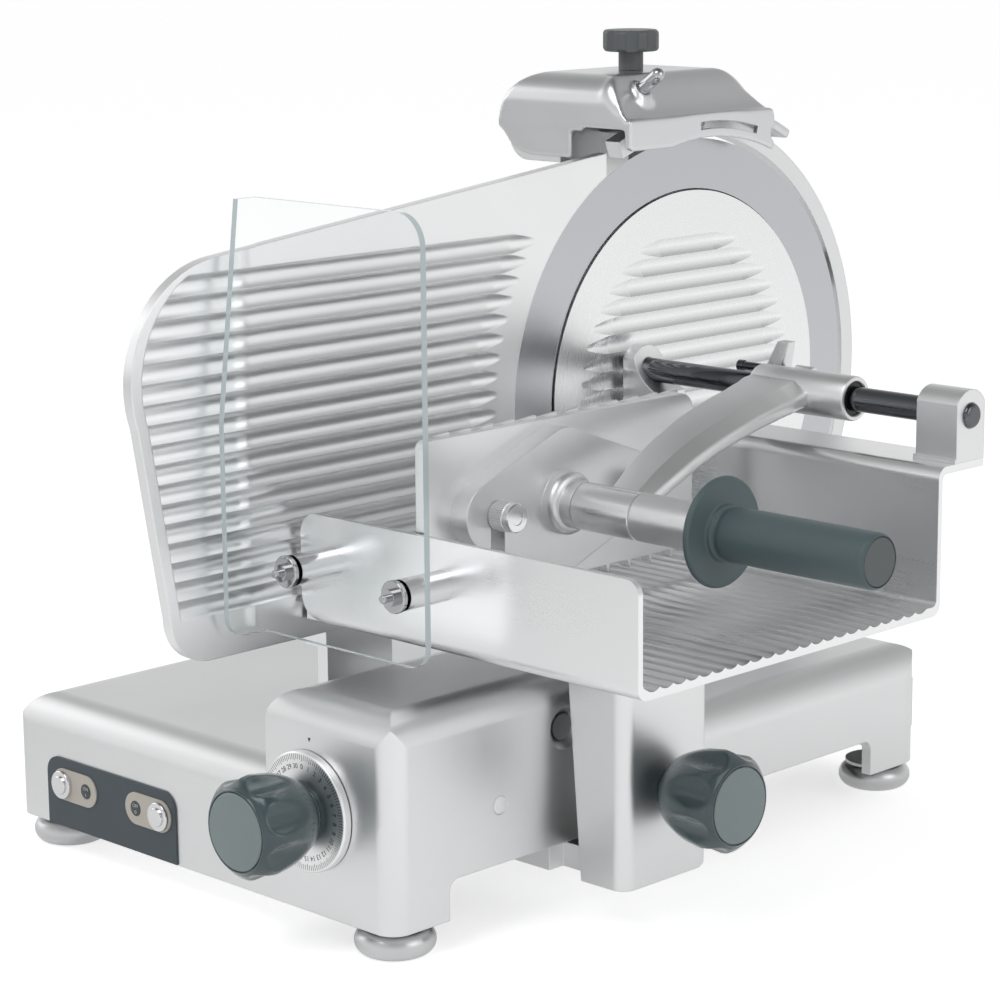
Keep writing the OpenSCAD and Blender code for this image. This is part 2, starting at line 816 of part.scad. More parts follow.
// Flutes on each side of the middle one, and how far the longest stays from the cover's edge
cover_rim = 25.5;
cover_tip = cover_d / 2 - cover_rim;
cover_side_n = floor((cover_tip - edge_r) / flute_pitch - 0.5);
tie_r = 5;
rod_hole_r = 6;
tie_out = 22;
tie_end = drive_back + tie_out;
tie_knob_r = 16;
tie_knob_t = 18;
tie_knob_round = 3;
tie_lobe_r = 6;
tie_lobe_in = 2;

module blade_cover() {
  color([0.84, 0.85, 0.86]) place() {
    difference() {
      rod_x(-cover_back, cover_face, 0, axis_z, cover_d / 2);
      for (i = [-cover_side_n : cover_side_n]) {
        reach = sqrt(cover_tip * cover_tip - pow(i * flute_pitch, 2));
        translate([cover_face, 0, axis_z + i * flute_pitch]) flute(-reach, reach);
      }
    }
    rod_x(-tie_end, -cover_back + over, 0, axis_z, tie_r);
  }
}

module cover_knob() {
  color([0.20, 0.25, 0.27]) place() difference() {
    turned_x(-drive_back - free_gap - tie_knob_t, 0, axis_z) round4(0, tie_knob_r, 0, tie_knob_t, 0,
        tie_knob_round, edge_r, 0);
    rod_x(-tie_end - over, 0, 0, axis_z, tie_r + run_gap);
    for (i = [0 : lobes - 1])
      rotate_blade(i * 360 / lobes) rod_x(-tie_end - tie_knob_t, 0,
          tie_knob_r + tie_lobe_r - tie_lobe_in, 0, tie_lobe_r);
  }
}

// Guard ring behind the rear edge of the blade, on three arms

ring_front = 1;
ring_back = 14;
ring_top = 112;
ring_low = 55;
arm_w = 24;
arm_t = 6;
arm_angles = [90, 20, -38];

module sector2(r, a0, a1) {
  steps = 6;
  polygon(concat([[0, 0]], [
    for (i = [0 : steps]) let (a = a0 + (a1 - a0) * i / steps) 2 * r * [cos(a), sin(a)]
  ]));
}

module guard_ring() {
  color([0.82, 0.83, 0.84]) place() translate([0, 0, axis_z]) {
    along_x(-ring_back, -ring_front) intersection() {
      difference() {
        circle(ring_r);
        circle(ring_in);
      }
      sector2(ring_r, -ring_low, ring_top);
    }
    for (a = arm_angles) rotate([a, 0, 0]) {
      block(-plate_front, -plate_front + arm_t, hub_r + arm_t / 2, ring_r - over, -arm_w / 2, arm_w / 2);
      block(-plate_front, -ring_back + over, ring_in + over, ring_r - over, -arm_w / 2, arm_w / 2);
    }
  }
}

// Deflector that peels the slice off the back of the blade

deflector_r0 = 60;
deflector_r1 = blade_r - 7;
deflector_a0 = 158;
deflector_a1 = 214;
deflector_x = 15;
deflector_t = 3;
deflector_arm = 20;

module slice_deflector() {
  color([0.80, 0.81, 0.83]) place() translate([0, 0, axis_z]) {
    along_x(-deflector_x - deflector_t, -deflector_x) intersection() {
      difference() {
        circle(deflector_r1);
        circle(deflector_r0);
      }
      sector2(deflector_r1, deflector_a0, deflector_a1);
    }
    rotate([(deflector_a0 + deflector_a1) / 2, 0, 0]) {
      block(-plate_front, -deflector_x - over / 2, hub_r + rear_gap, deflector_r0 + deflector_arm,
            -deflector_arm / 2, deflector_arm / 2);
    }
  }
}

// Sharpener on top of the blade support

hood_z = axis_z + ring_r + hood_h;
hood_right = 22;
hood_front = 85;
// Lower edge of the hood: over the tub, and of its skirt beside the blade
hood_low = hood_z - 39;
hood_low_x = hood_z - 51;
hood_t = 3.5;
hood_round_left = 38;
hood_round_front = 20;
hood_round_rear = 44;
hood_slope_x = 30;
hood_slope_z = 30;
post_x = -32;
post_y = -25;
post_r = 7;
post_z = hood_z - 17;
boss_wall = 5;
base_blk = 14;
base_blk_h = 50;
base_blk_z = hood_low - 4;
tub_left = 98;
tub_z = hood_low - 23;
tub_front = 80;
tub_rear = 40;
tub_round = 18;
tub_t = 4;
hood_clear = ring_r + 2.5;
hood_left = hood_right - hood_w;
hood_rear = hood_l - hood_front;

module sharpener_base() {
  color([0.74, 0.75, 0.76]) place() {
    block(-plate_front - base_blk * 2, -plate_front, post_y - base_blk, post_y + base_blk * 2,
        axis_z + ring_r - base_blk_h, base_blk_z);
    difference() {
      block(-plate_front - base_blk, -plate_front, -arm_w / 2, arm_w / 2, axis_z + support_hub_r - base_blk,
            axis_z + ring_r - base_blk_h + over);
      rod_x(-plate_front - 2 * base_blk, over, 0, axis_z, support_hub_r + run_gap);
    }
    rod_z(base_blk_z - over, post_z, post_x, post_y, post_r);
    difference() {
      along_y(-tub_front, tub_rear)
        round4(-tub_left, -plate_front - base_blk * 2 + over, tub_z, hood_low - free_gap, tub_round, 0,
            0, 0);
      along_y(-tub_front + tub_t, tub_rear - tub_t)
        round4(-tub_left + tub_t, -plate_front - base_blk * 2 - tub_t, tub_z + tub_t, hood_low + over,
            tub_round - tub_t, 0, 0, 0);
    }
  }
}

module hood_profile(t) {
  top = hood_z - t;
  r = hood_round_left - t;
  difference() {
    round4(hood_left + t, hood_right - t, hood_low_x - (t > 0 ? over : 0), top, 0, 0, 0, r);
    polygon([
      [hood_right - t - hood_slope_x, top + over], [hood_right - t - hood_slope_x, top],
      [hood_right - t - hood_slope_x / 2, top - hood_slope_z / 4], [hood_right - t, top - hood_slope_z],
      [hood_right + over, top - hood_slope_z], [hood_right + over, top + over]
    ]);
  }
}

module hood_solid(t) {
  intersection() {
    along_y(-hood_front + t, hood_rear - t) hood_profile(t);
    along_x(hood_left, hood_right)
      round4(-hood_front + t, hood_rear - t, hood_low_x - over, hood_z - t, 0, 0, hood_round_rear - t,
          hood_round_front - t);
  }
}

lip_in = hood_clear;
lip_t = 7;
lip_a0 = 61;
lip_a1 = 84;
lip_right = 14;
lip_left = 20;
slot_right = 16;
slot_left = 22;
slot_top = hood_low + 3;
pin_r = 5;
pin_tilt = 35;
pin_x = 8;
pin_y = -56;
pin_z = hood_z - 9;
pin_in = 26;
pin_out = 16;
knob_stud_r = 4;

module pin_axis() translate([pin_x, pin_y, pin_z]) rotate([0, 90 - pin_tilt, 0]) children();

module sharpener_hood() {
  color([0.76, 0.77, 0.79]) place() {
    difference() {
      union() {
        difference() {
          hood_solid(0);
          hood_solid(hood_t);
        }
        intersection() {
          hood_solid(0);
          union() {
            rod_z(hood_low + free_gap, hood_z - over, post_x, post_y, post_r + run_gap + boss_wall);
            pin_axis() translate([0, 0, -pin_in]) cylinder(h = pin_in, r = pin_r + hood_t);
          }
        }
      }
      block(hood_left - over, -slot_left, -hood_front - over, hood_rear + over, hood_low_x - 2 * over,
          hood_low);
      block(-slot_left - over, slot_right, -hood_front - over, -hood_front + hood_t + over,
          hood_low_x - 2 * over, slot_top);
      block(-slot_left - over, slot_right, hood_rear - hood_t - over, hood_rear + over,
          hood_low_x - 2 * over, slot_top);
      rod_x(-slot_left - 2 * over, hood_right + over, 0, axis_z, hood_clear - over / 2);
      rod_z(hood_low_x, post_z + over, post_x, post_y, post_r + run_gap);
      rod_z(post_z, hood_z + over, post_x, post_y, knob_stud_r + run_gap);
      pin_axis() translate([0, 0, -pin_in - over]) cylinder(h = pin_in + pin_out, r = pin_r + run_gap);
    }
    intersection() {
      along_x(-lip_left, lip_right) translate([0, axis_z]) intersection() {
        difference() {
          circle(lip_in + lip_t);
          circle(lip_in);
        }
        sector2(ring_r, lip_a0, lip_a1);
      }
      block(-lip_left - over, lip_right + over, -over, ring_r, axis_z, hood_z);
    }
  }
}

head_r = 20;
head_t = 14;
head_lobe_r = 7;
head_lobes = 8;
head_lobe_in = 2.5;
head_round = 3;
stem_r = 8.7;
stem_t = 14;

module sharpener_knob() {
  z0 = hood_z + free_gap;
  color([0.38, 0.40, 0.42]) place() {
    difference() {
      translate([post_x, post_y, z0]) rotate_extrude() {
        rect2(0, stem_r, 0, stem_t);
        round4(0, head_r, stem_t - over, stem_t + head_t, 0, head_round, head_round, 0);
      }
      for (i = [0 : head_lobes - 1])
        translate([post_x, post_y, z0 + stem_t - 2 * over]) rotate([0, 0, i * 360 / head_lobes])
          rod_z(0, head_t + 4 * over, head_r + head_lobe_r - head_lobe_in, 0, head_lobe_r);
    }
    rod_z(post_z + free_gap, z0 + over, post_x, post_y, knob_stud_r);
  }
}

module sharpener_pin() {
  color([0.88, 0.88, 0.89]) place() pin_axis() translate([0, 0, -pin_in]) {
    cylinder(h = pin_in + pin_out, r = pin_r);
    translate([0, 0, pin_in + pin_out]) intersection() {
      sphere(pin_r);
      cylinder(h = pin_r, r = pin_r);
    }
  }
}

wheel_y = 18;
wheel_z = hood_z - 29;
wheel_r = 16.5;
wheel_t = 7;
axle_r = 3;
carrier_w = 10;
carrier_t = 4;
carrier_z = hood_z - 19;
grind_x = -30;
hone_x = 1;
hone_y = -2;
hone_z = hood_z - 33;
hone_r = 12;
strut_t = 2;

module stone_carrier() {
  left = grind_x - 2 * carrier_t;
  right = hone_x + wheel_t + free_gap + strut_t;
  half = carrier_w / 2;
  color([0.70, 0.71, 0.72]) place() {
    difference() {
      intersection() {
        union() {
          block(left, right, hone_y - half, wheel_y + half, carrier_z, hood_z);
          block(left, left + carrier_t, wheel_y - half, wheel_y + half, wheel_z - carrier_t, hood_z);
          block(right - strut_t, right, hone_y - half, hone_y + half, hone_z - carrier_t, hood_z);
        }
        hood_solid(hood_t);
      }
      rod_x(grind_x - edge_r, grind_x + wheel_t + edge_r, wheel_y, wheel_z, wheel_r + edge_r);
    }
    rod_x(left, grind_x + wheel_t, wheel_y, wheel_z, axle_r);
    rod_x(hone_x, right, hone_y, hone_z, axle_r);
  }
}

module wheel(x, y, z, r) {
  place() difference() {
    turned_x(x, y, z) round4(0, r, 0, wheel_t, 0, edge_r, edge_r, 0);
    rod_x(x - over, x + wheel_t + over, y, z, axle_r + run_gap);
  }
}

module grinding_wheel() color([0.55, 0.30, 0.25]) wheel(grind_x, wheel_y, wheel_z, wheel_r);
module honing_wheel() color([0.85, 0.84, 0.80]) wheel(hone_x, hone_y, hone_z, hone_r);

// Gauge plate, its bracket and slide

gauge_corner = 75;
// Slope of the top edge in degrees
gauge_slope = 5.4;
gauge_corner_z = axis_z + 57.5;
gauge_foot_y = 478;
gauge_foot_round = 30;
gauge_top_y = 84.6;
gauge_top_z = axis_z + 170.6;
gauge_arc = blade_r + 1.3;
flute_top_z = axis_z + 122.8;
flute_tip = gauge_arc + 16.7;
flute_rim = 8;
pad_t = 14;
pad_up = 75;
pad_down = 12;

// Outline of the plate, seen from the right: along the machine and up
module gauge_outline() {
  corner_y = -gauge_front + gauge_corner;
  difference() {
    union() {
      polygon([
        [-gauge_front, gauge_corner_z], [-gauge_foot_y, gauge_low_z + gauge_foot_round],
        [-gauge_foot_y + gauge_foot_round, gauge_low_z], [0, gauge_low_z], [0, gauge_top_z],
        [-gauge_top_y, gauge_top_z],
        [corner_y - gauge_corner * sin(gauge_slope), gauge_corner_z + gauge_corner * cos(gauge_slope)],
        [corner_y, gauge_corner_z]
      ]);
      translate([corner_y, gauge_corner_z]) circle(gauge_corner);
      translate([-gauge_foot_y + gauge_foot_round, gauge_low_z + gauge_foot_round])
        circle(gauge_foot_round);
    }
    translate([0, axis_z]) circle(gauge_arc);
    rect2(-gauge_top_y, over, gauge_low_z - over, gauge_top_z + over);
  }
}

module gauge_plate() {
  color([0.84, 0.85, 0.86]) place() {
    difference() {
      along_x(-gauge_t, 0) gauge_outline();
      intersection() {
        for (i = [0 : flute_n - 1]) {
          z = flute_top_z - flute_pitch * (i + 0.5);
          tip = sqrt(flute_tip * flute_tip - pow(z - axis_z, 2));
          translate([0, 0, z]) flute(-gauge_front - flute_run, -tip);
        }
        along_x(-gauge_t, gauge_t) difference() {
          gauge_outline();
          difference() {
            rect2(-gauge_front - over, 0, gauge_low_z - over, gauge_top_z + over);
            translate([flute_rim, 0]) gauge_outline();
          }
        }
      }
    }
    block(-bracket_t - bracket_skin, -bracket_skin, -gauge_y - bracket_half, -gauge_y + bracket_half,
          slide_z1, gauge_low_z + over);
    block(-gauge_t - pad_t, -gauge_t + over, -gauge_y - bracket_half, -gauge_y + bracket_half,
          gauge_low_z - pad_down, gauge_low_z + pad_up);
  }
}
follow_r = 4;
follow_y = 353;
follow_l = 19;
follow_z0 = 80;
follow_z1 = 93;
follow_x0 = 4;
cam_r0 = 9;
cam_edge = 1.5;
cam_t = 7;
cam_y = 376;
groove_d = 4;
groove_gap = 0.15;
cam_r = cam_r0 + slice_max + follow_r + groove_gap + cam_edge;
screw_edge = 25.5;
clamp_r = 2.5;

module gauge_slide() {
  color([0.55, 0.56, 0.58]) place() difference() {
    union() {
      block(-slide_left, slide_right, -gauge_y - slide_half, -gauge_y + slide_half, slide_z0, slide_z1);
      block(follow_x0, dial_x - cam_r0 + 2 * follow_r, -follow_y - follow_l, -follow_y + over,
          follow_z0, follow_z1);
      rod_y(-cam_y - groove_d + free_gap, -follow_y, dial_x - cam_r0, dial_z, follow_r);
    }
    for (s = [-1, 1])
      rod_x(-slide_left - over, slide_right + over, -gauge_y + s * gauge_rod_half, gauge_rod_z,
          gauge_rod_r + run_gap);
    for (s = [-1, 1])
      rod_z(slide_z0 - over, slide_z1 + over, -bracket_skin - bracket_t / 2, -gauge_y + s * screw_edge,
          clamp_r + run_gap);
  }
}

module gauge_screws() {
  color([0.70, 0.71, 0.72]) place() for (s = [-1, 1]) {
    rod_z(slide_z0, slide_z1, -bracket_skin - bracket_t / 2, -gauge_y + s * screw_edge, clamp_r);
    rod_z(slide_z0 - 2 * clamp_r, slide_z0, -bracket_skin - bracket_t / 2, -gauge_y + s * screw_edge,
        2 * clamp_r - over);
  }
}

// Dial, its knob and the spiral cam that moves the gauge slide

dial_t = 5.5;
dial_rim = 1.5;
dial_gap = 0.5;
knob_neck_r = 17;
knob_gap = 4;
spindle_end = base_front + dial_gap + dial_t;

module dial_bush() {
  color([0.72, 0.60, 0.35]) place() difference() {
    union() {
      rod_y(-base_front, -base_front + cast_t, dial_x, dial_z, bush_r);
      rod_y(-base_front + cast_t, -base_front + cast_t + bush_flange_t, dial_x, dial_z, bush_flange_r);
    }
    rod_y(-base_front - over, -base_front + cast_t + bush_flange_t + over, dial_x, dial_z,
        spindle_r + run_gap);
  }
}

module dial_disc() {
  color([0.86, 0.87, 0.88]) place() difference() {
    turned_front(dial_x, -base_front - dial_gap, dial_z) round4(0, dial_r, 0, dial_t, 0, 0, dial_rim, 0);
    rod_y(-spindle_end - over, -base_front, dial_x, dial_z, spindle_r + run_gap);
  }
}

// Knob profile: radius against length from its rear face, as shares of the knob's radius and length
knob_shares = [
  [0, 0], [0.60, 0], [0.74, 0.10], [0.90, 0.36], [0.99, 0.66], [1, 0.80], [0.93, 0.91], [0.81, 0.97],
  [0.79, 1], [0.755, 1], [0.755, 0.985], [0.735, 0.985], [0.735, 1.01], [0.65, 1.03], [0, 1.04]
];
lobes = 8;
lobe_r = 17;
lobe_in = 4.6;

module lobed_knob() {
  difference() {
    rotate_extrude() polygon([for (p = knob_shares) [p[0] * knob_d / 2, p[1] * knob_l]]);
    for (i = [0 : lobes - 1]) rotate([0, 0, (i + 0.5) * 360 / lobes])
      translate([knob_d / 2 + lobe_r - lobe_in, 0, -over]) cylinder(h = 2 * knob_l, r = lobe_r);
  }
}

module dial_knob() {
  y0 = spindle_end + knob_gap;
  color([0.20, 0.26, 0.28]) place() {
    translate([dial_x, -y0, dial_z]) rotate([90, 0, 0]) lobed_knob();
    rod_y(-y0 - over, -spindle_end, dial_x, dial_z, knob_neck_r);
  }
}

// Groove of the cam: the radius grows evenly with the turn, so the slide moves evenly too
module cam_groove() {
  steps = 60;
  half = follow_r + groove_gap;
  rise = slice_max / dial_turn * 180 / PI;
  function at(t, side) = let (
    r = cam_r0 + slice_max * t / dial_turn,
    out = [cos(180 - t), sin(180 - t)],
    on = [out[1], -out[0]]
  ) r * out + side * (half - strap_in) * (r * out - rise * on) / norm([r, rise]);
  polygon(concat(
    [for (i = [0 : steps]) at(dial_turn * i / steps, 1)],
    [for (i = [steps : -1 : 0]) at(dial_turn * i / steps, -1)]
  ));
  translate(cam_r0 * [-1, 0]) circle(half);
  translate((cam_r0 + slice_max) * [cos(180 - dial_turn), sin(180 - dial_turn)]) circle(half);
}

module dial_cam() {
  color([0.60, 0.61, 0.63]) place() {
    rod_y(-spindle_end, -cam_y - cam_t + over, dial_x, dial_z, spindle_r);
    difference() {
      rod_y(-cam_y - cam_t, -cam_y, dial_x, dial_z, cam_r);
      translate([dial_x, 0, dial_z]) along_y(-cam_y - groove_d, -cam_y + over) cam_groove();
    }
  }
}

// Carriage foot, column and lock knob

foot_x0 = 50;
foot_y0 = 278;
foot_y1 = 192;
foot_z0 = 26.5;
foot_z1 = 43;
guide_wall = 14;
guide_top = 82;
tongue_y0 = 256;
tongue_y1 = 216;
tongue_z1 = 122;
bush_t = 3;
bush_l = 24;
lock_y = 236;
lock_z = 86.8;
lock_r = 6;
col_x0 = 156;
col_x1 = 193;
col_y0 = 278;
col_y1 = 199;
// How much further left the column starts at its top
col_lean = 13;
col_z0 = 26;
col_z1 = 187.5;
col_wall = 5;
foot_x1 = col_x0 + col_wall;
tongue_x1 = col_x1 - col_wall;
col_round = 10;
col_foot_round = 10;
foot_arm_y = 12;

module carriage_foot() {
  color([0.60, 0.61, 0.62]) place() difference() {
    union() {
      block(foot_x0, guide_x + guide_wall, -foot_y0, -foot_y1, foot_z0, foot_z1);
      block(guide_x + guide_wall - over, foot_x1 + over, -foot_y0 + foot_arm_y + over,
          -foot_y1 - foot_arm_y, foot_z0, foot_z1);
      block(guide_x - guide_wall - edge_r, guide_x + guide_wall, -foot_y0, -foot_y1, foot_z1 - over,
          guide_top);
      block(foot_x1, tongue_x1, -tongue_y0, -tongue_y1, foot_z0, tongue_z1);
    }
    rod_y(-foot_y0 - over, -foot_y1 + over, guide_x, guide_z, guide_r + bush_t + run_gap);
    rod_y(-foot_y0 - over, -foot_y1 + over, steady_x, steady_z, steady_r + run_gap);
    rod_x(foot_x1 - over, tongue_x1 + over, -lock_y, lock_z, lock_r + run_gap);
  }
}

module foot_bushes() {
  color([0.72, 0.60, 0.35]) place() for (y = [-foot_y0, -foot_y1 - bush_l]) difference() {
    rod_y(y, y + bush_l, guide_x, guide_z, guide_r + bush_t);
    rod_y(y - over, y + bush_l + over, guide_x, guide_z, guide_r + run_gap);
  }
}

// Outline of the column seen from the front, its left side leaning out towards the top
module column_front(t) {
  z0 = col_z0 - (t > 0 ? over : 0);
  z1 = col_z1 - t;
  polygon([[col_x0 + t, z0], [col_x1 - t, z0], [col_x1 - t, z1], [col_x0 - col_lean + t, z1]]);
}

module carriage_column() {
  color([0.80, 0.81, 0.82]) place() difference() {
    intersection() {
      along_y(-col_y0, -col_y1) column_front(0);
      along_x(col_x0 - col_lean, col_x1)
        round4(-col_y0, -col_y1, col_z0, col_z1, 0, col_foot_round, 0, 0);
      along_z(col_z0, col_z1)
        round4(col_x0 - col_lean, col_x1, -col_y0, -col_y1, 0, col_round, col_foot_round / 2, 0);
    }
    along_y(-col_y0 + col_wall, -col_y1 - col_wall) column_front(col_wall);
    block(col_x0 - col_lean, col_x0 + col_wall + over, -foot_y0 + foot_arm_y - free_gap,
          -foot_y1 - foot_arm_y + over + free_gap, col_z0 - over, foot_z1 + over);
    rod_x(col_x1 - col_wall - over, col_x1 + over, -lock_y, lock_z, lock_r + run_gap);
  }
}

collar_r = 11.5;
collar_l = 8;
lock_face = col_x1 + free_gap;

module lock_knob() {
  color([0.20, 0.26, 0.28]) place() {
    translate([lock_face + collar_l, -lock_y, lock_z]) rotate([0, 90, 0]) lobed_knob();
    rod_x(lock_face, lock_face + collar_l + over, -lock_y, lock_z, collar_r);
    rod_x(foot_x1, lock_face + over, -lock_y, lock_z, lock_r);
  }
}

// Tray: one section of front wall, ridged floor, rear wall and flange

tray_x0 = 2.5;
tray_x1 = tray_x0 + tray_w;
floor_t = 6.5;
wall_in_y = 86;
bend_r = 8;
flange_t = 5;
ridge_cut_r = 9;
ridge_in = 9;
ridge_deep = ridge_cut_r - sqrt(ridge_cut_r * ridge_cut_r - ridge_pitch * ridge_pitch / 4);
wall_corner_r = 9;
wall_corner_l = 14;
wall_foot_l = 20;
tray_low = tray_z - floor_t;
ridge_n = floor((tray_front - wall_in_y - 2 * tray_t - 2 * ridge_in) / ridge_pitch);
rear_out = -wall_in_y;
rear_in = -wall_in_y - tray_t;

module tray_section() {
  difference() {
    union() {
      round4(-tray_front, rear_out, tray_low, tray_low + 3 * bend_r, bend_r, bend_r, 0, 0);
      rect2(-tray_front, -tray_front + tray_t, tray_low + bend_r, wall_z);
      rect2(rear_in, rear_out, tray_low + bend_r, flange_z - bend_r);
      round4(rear_in, rear_in + 2 * bend_r, flange_z - 2 * bend_r, flange_z, 0, 0, 0, bend_r);
      rect2(rear_in + bend_r, -tray_rear, flange_z - flange_t, flange_z);
    }
    round4(-tray_front + tray_t, rear_in, tray_z, wall_z, bend_r / 2, bend_r / 2, 0, 0);
    round4(rear_out, 0, flange_z - 3 * bend_r, flange_z - flange_t, 0, 0, 0, bend_r / 2);
    for (i = [0 : ridge_n])
      translate([-tray_front + tray_t + ridge_in + ridge_pitch * i,
          tray_z + ridge_cut_r - ridge_deep]) circle(ridge_cut_r);
  }
}

peg_z = 231;
peg_xz = [[32.7, peg_z], [129.9, peg_z]];
peg_screw_r = 3;

module carriage_tray() {
  color([0.83, 0.84, 0.85]) place() difference() {
    along_x(tray_x0, tray_x1) tray_section();
    along_y(-tray_front - over, -tray_front + tray_t + bend_r / 4) {
      corner(tray_x0, wall_z, 1, -1, wall_corner_l);
      corner(tray_x1, wall_z, -1, -1, wall_corner_r);
    }
    along_y(-tray_front - over, -tray_front + tray_t) corner(tray_x0, tray_low, 1, 1, wall_foot_l);
    for (p = peg_xz) rod_y(-tray_front - over, -tray_front + tray_t + over, p[0], p[1],
        peg_screw_r + run_gap);
  }
}

// Rod with its two pillars on the flange

rod_y0 = 57.5;
rod_r = rod_d / 2;
pillar_w = 32;
pillar_half = 14.5;
pillar_lip = 1.2;
pillar_lip_z = 3;
pillar_top = 17;
pillar_arch = 16.5;
dome = 3;
// Hollow of the left pillar's inner side, which leaves a long foot
hollow_r = 32;
hollow_x = 41.3;

module pillar(x0, x1) {
  difference() {
    union() {
      intersection() {
        block(x0, x1, -rod_y0 - pillar_half, -rod_y0 + pillar_half, flange_z, rod_z + pillar_top);
        union() {
          rod_x(x0, x1, -rod_y0, rod_z + pillar_top - pillar_arch, pillar_arch);
          block(x0, x1, -rod_y0 - pillar_half, -rod_y0 + pillar_half, flange_z, rod_z);
        }
      }
      block(x0 - pillar_lip, min(x1 + pillar_lip, tray_x1), -rod_y0 - pillar_half - pillar_lip,
            -rod_y0 + pillar_half, flange_z, flange_z + pillar_lip_z);
    }
    rod_x(x0 - over, x1 + over, -rod_y0, rod_z, rod_r + run_gap);
  }
}

module rod_pillars() {
  color([0.80, 0.81, 0.83]) place() {
    difference() {
      pillar(tray_x0 + pillar_lip, tray_x0 + pillar_lip + pillar_w);
      rod_y(-tray_front, 0, tray_x0 + pillar_lip + hollow_x, rod_z + pillar_top, hollow_r);
    }
    pillar(tray_x1 - pillar_w, tray_x1);
  }
}

washer_r = 12;
washer_t = 3;

module press_rod() {
  run = tray_x1 - tray_x0 - pillar_lip;
  shoulder = run - pillar_w;
  color([0.52, 0.53, 0.55]) place() turned_x(tray_x0 + pillar_lip, -rod_y0, rod_z) {
    round4(0, rod_r, 0, run + dome, 0, 0, dome, 0);
    rect2(0, washer_r, shoulder - washer_t, shoulder);
  }
}

// Clear guard in front of the tray's wall, on two pegs

peg_r = 9.75;
peg_l = 34;
cap_r = 10.3;
cap_t = 3;
finial_r = 5.5;
finial_l = 9;
finial_tip_r = 2.5;
finial_tip = 5;
guard_z0 = 189;
guard_x0 = 5;
guard_x1 = guard_x0 + guard_w;
guard_y0 = tray_front + peg_l;
flap_top = 13;
flap_low = 29;
flap_round = 14;
guard_round = 20;

module guard_pegs() {
  color([0.82, 0.82, 0.84]) place() for (p = peg_xz) {
    rod_y(-guard_y0, -tray_front, p[0], p[1], peg_r);
    rod_y(-tray_front, -tray_front + tray_t, p[0], p[1], peg_screw_r);
    rod_y(-tray_front + tray_t, -tray_front + tray_t + peg_screw_r, p[0], p[1], 2 * peg_screw_r);
    rod_y(-guard_y0 - guard_t, -guard_y0, p[0], p[1], peg_screw_r);
  }
}

module blade_guard() {
  color([0.80, 0.88, 0.90, 0.35]) place() {
    difference() {
      along_y(-guard_y0 - guard_t, -guard_y0)
        round4(guard_x0, guard_x1, guard_z0, guard_z0 + guard_h, 0, flap_round, guard_round, 0);
      for (p = peg_xz) rod_y(-guard_y0 - guard_t - over, -guard_y0 + over, p[0], p[1],
          peg_screw_r + run_gap);
    }
    intersection() {
      along_x(guard_x0, guard_x0 + guard_t) difference() {
        polygon([
          [-guard_y0 - over, guard_z0], [-guard_y0 - over, guard_z0 + guard_h],
          [-guard_y0 - guard_t - flap_top, guard_z0 + guard_h],
          [-guard_y0 - guard_t - flap_low, guard_z0 + guard_h / 2],
          [-guard_y0 - guard_t - flap_low, guard_z0]
        ]);
        corner(-guard_y0 - guard_t - flap_low, guard_z0, 1, 1, flap_round);
      }
      block(guard_x0 - over, guard_x0 + guard_t + over, -guard_y0 - 2 * flap_low, -guard_y0, guard_z0,
          guard_z0 + guard_h);
    }
  }
}

module guard_nuts() {
  y0 = guard_y0 + guard_t;
  color([0.78, 0.78, 0.80]) place() for (p = peg_xz) turned_front(p[0], -y0, p[1]) {
    round4(0, cap_r, 0, cap_t, 0, 0, edge_r, 0);
    rect2(0, finial_r, cap_t - over, cap_t + finial_l - finial_tip);
    round4(0, finial_tip_r, cap_t, cap_t + finial_l, 0, 0, edge_r, 0);
  }
}

// Press: sleeve and bushes on the rod, arm, toothed plate, handle and latch

sleeve_x0 = 116.5;
sleeve_x1 = 197.5;
sleeve_r = sleeve_d / 2;
press_bush_t = 3;
press_bush_l = 22;
press_bush_in = 2;
handle_y = 259;
handle_z = 264.5;
bracket_x0 = 110;
bracket_pt = 14;
tube_r = 15.2;
// Joints between the bracket's boss, the arm's hub and the handle's tube
tube_x0 = 143;
tube_x1 = 191.5;
tube_flare = 5;
tube_x2 = 252.5;
arm_top_z = 8;
arm_thick = 13;
arm_sag = 6;
arm_y0 = 72;
arm_y1 = 250;
latch_y = 40;
latch_z = 321;
latch_r = 3.2;
latch_boss_r = 5.6;
latch_boss_x0 = 133;
latch_boss_x1 = 148;
latch_x0 = 82.5;
latch_x1 = 153;
latch_head_r = 4;
latch_head_t = 5;
// Finger tab of the latch: leaning to the right, and thinner from front to back at its top
tab_x0 = 109.5;
tab_w = 13;
tab_top_w = 10;
tab_lean = 10.5;
tab_y0 = 45;
tab_y1 = 32;
tab_top_y1 = 37;
tab_z0 = 323;
tab_z = 342;
handle_bolt_r = 5;

module press_bushes() {
  ends = [sleeve_x0 + press_bush_in, sleeve_x1 - press_bush_l - press_bush_in];
  color([0.08, 0.08, 0.09]) place() for (x = ends) difference() {
    rod_x(x, x + press_bush_l, -rod_y0, rod_z, rod_r + press_bush_t);
    rod_x(x - over, x + press_bush_l + over, -rod_y0, rod_z, rod_r + run_gap);
  }
}

// Centre of the arc that runs from p to q and rises by sag between them
function arc_r(p, q, sag) = (pow(norm(q - p) / 2, 2) + sag * sag) / (2 * sag);
function arc_c(p, q, sag) = let (
  mid = (p + q) / 2,
  side = [q[1] - p[1], p[0] - q[0]] / norm(q - p)
) mid + side * (arc_r(p, q, sag) - sag);

arm_p = [-arm_y0, rod_z + arm_top_z];
arm_q = [-arm_y1, handle_z + tube_r - over];

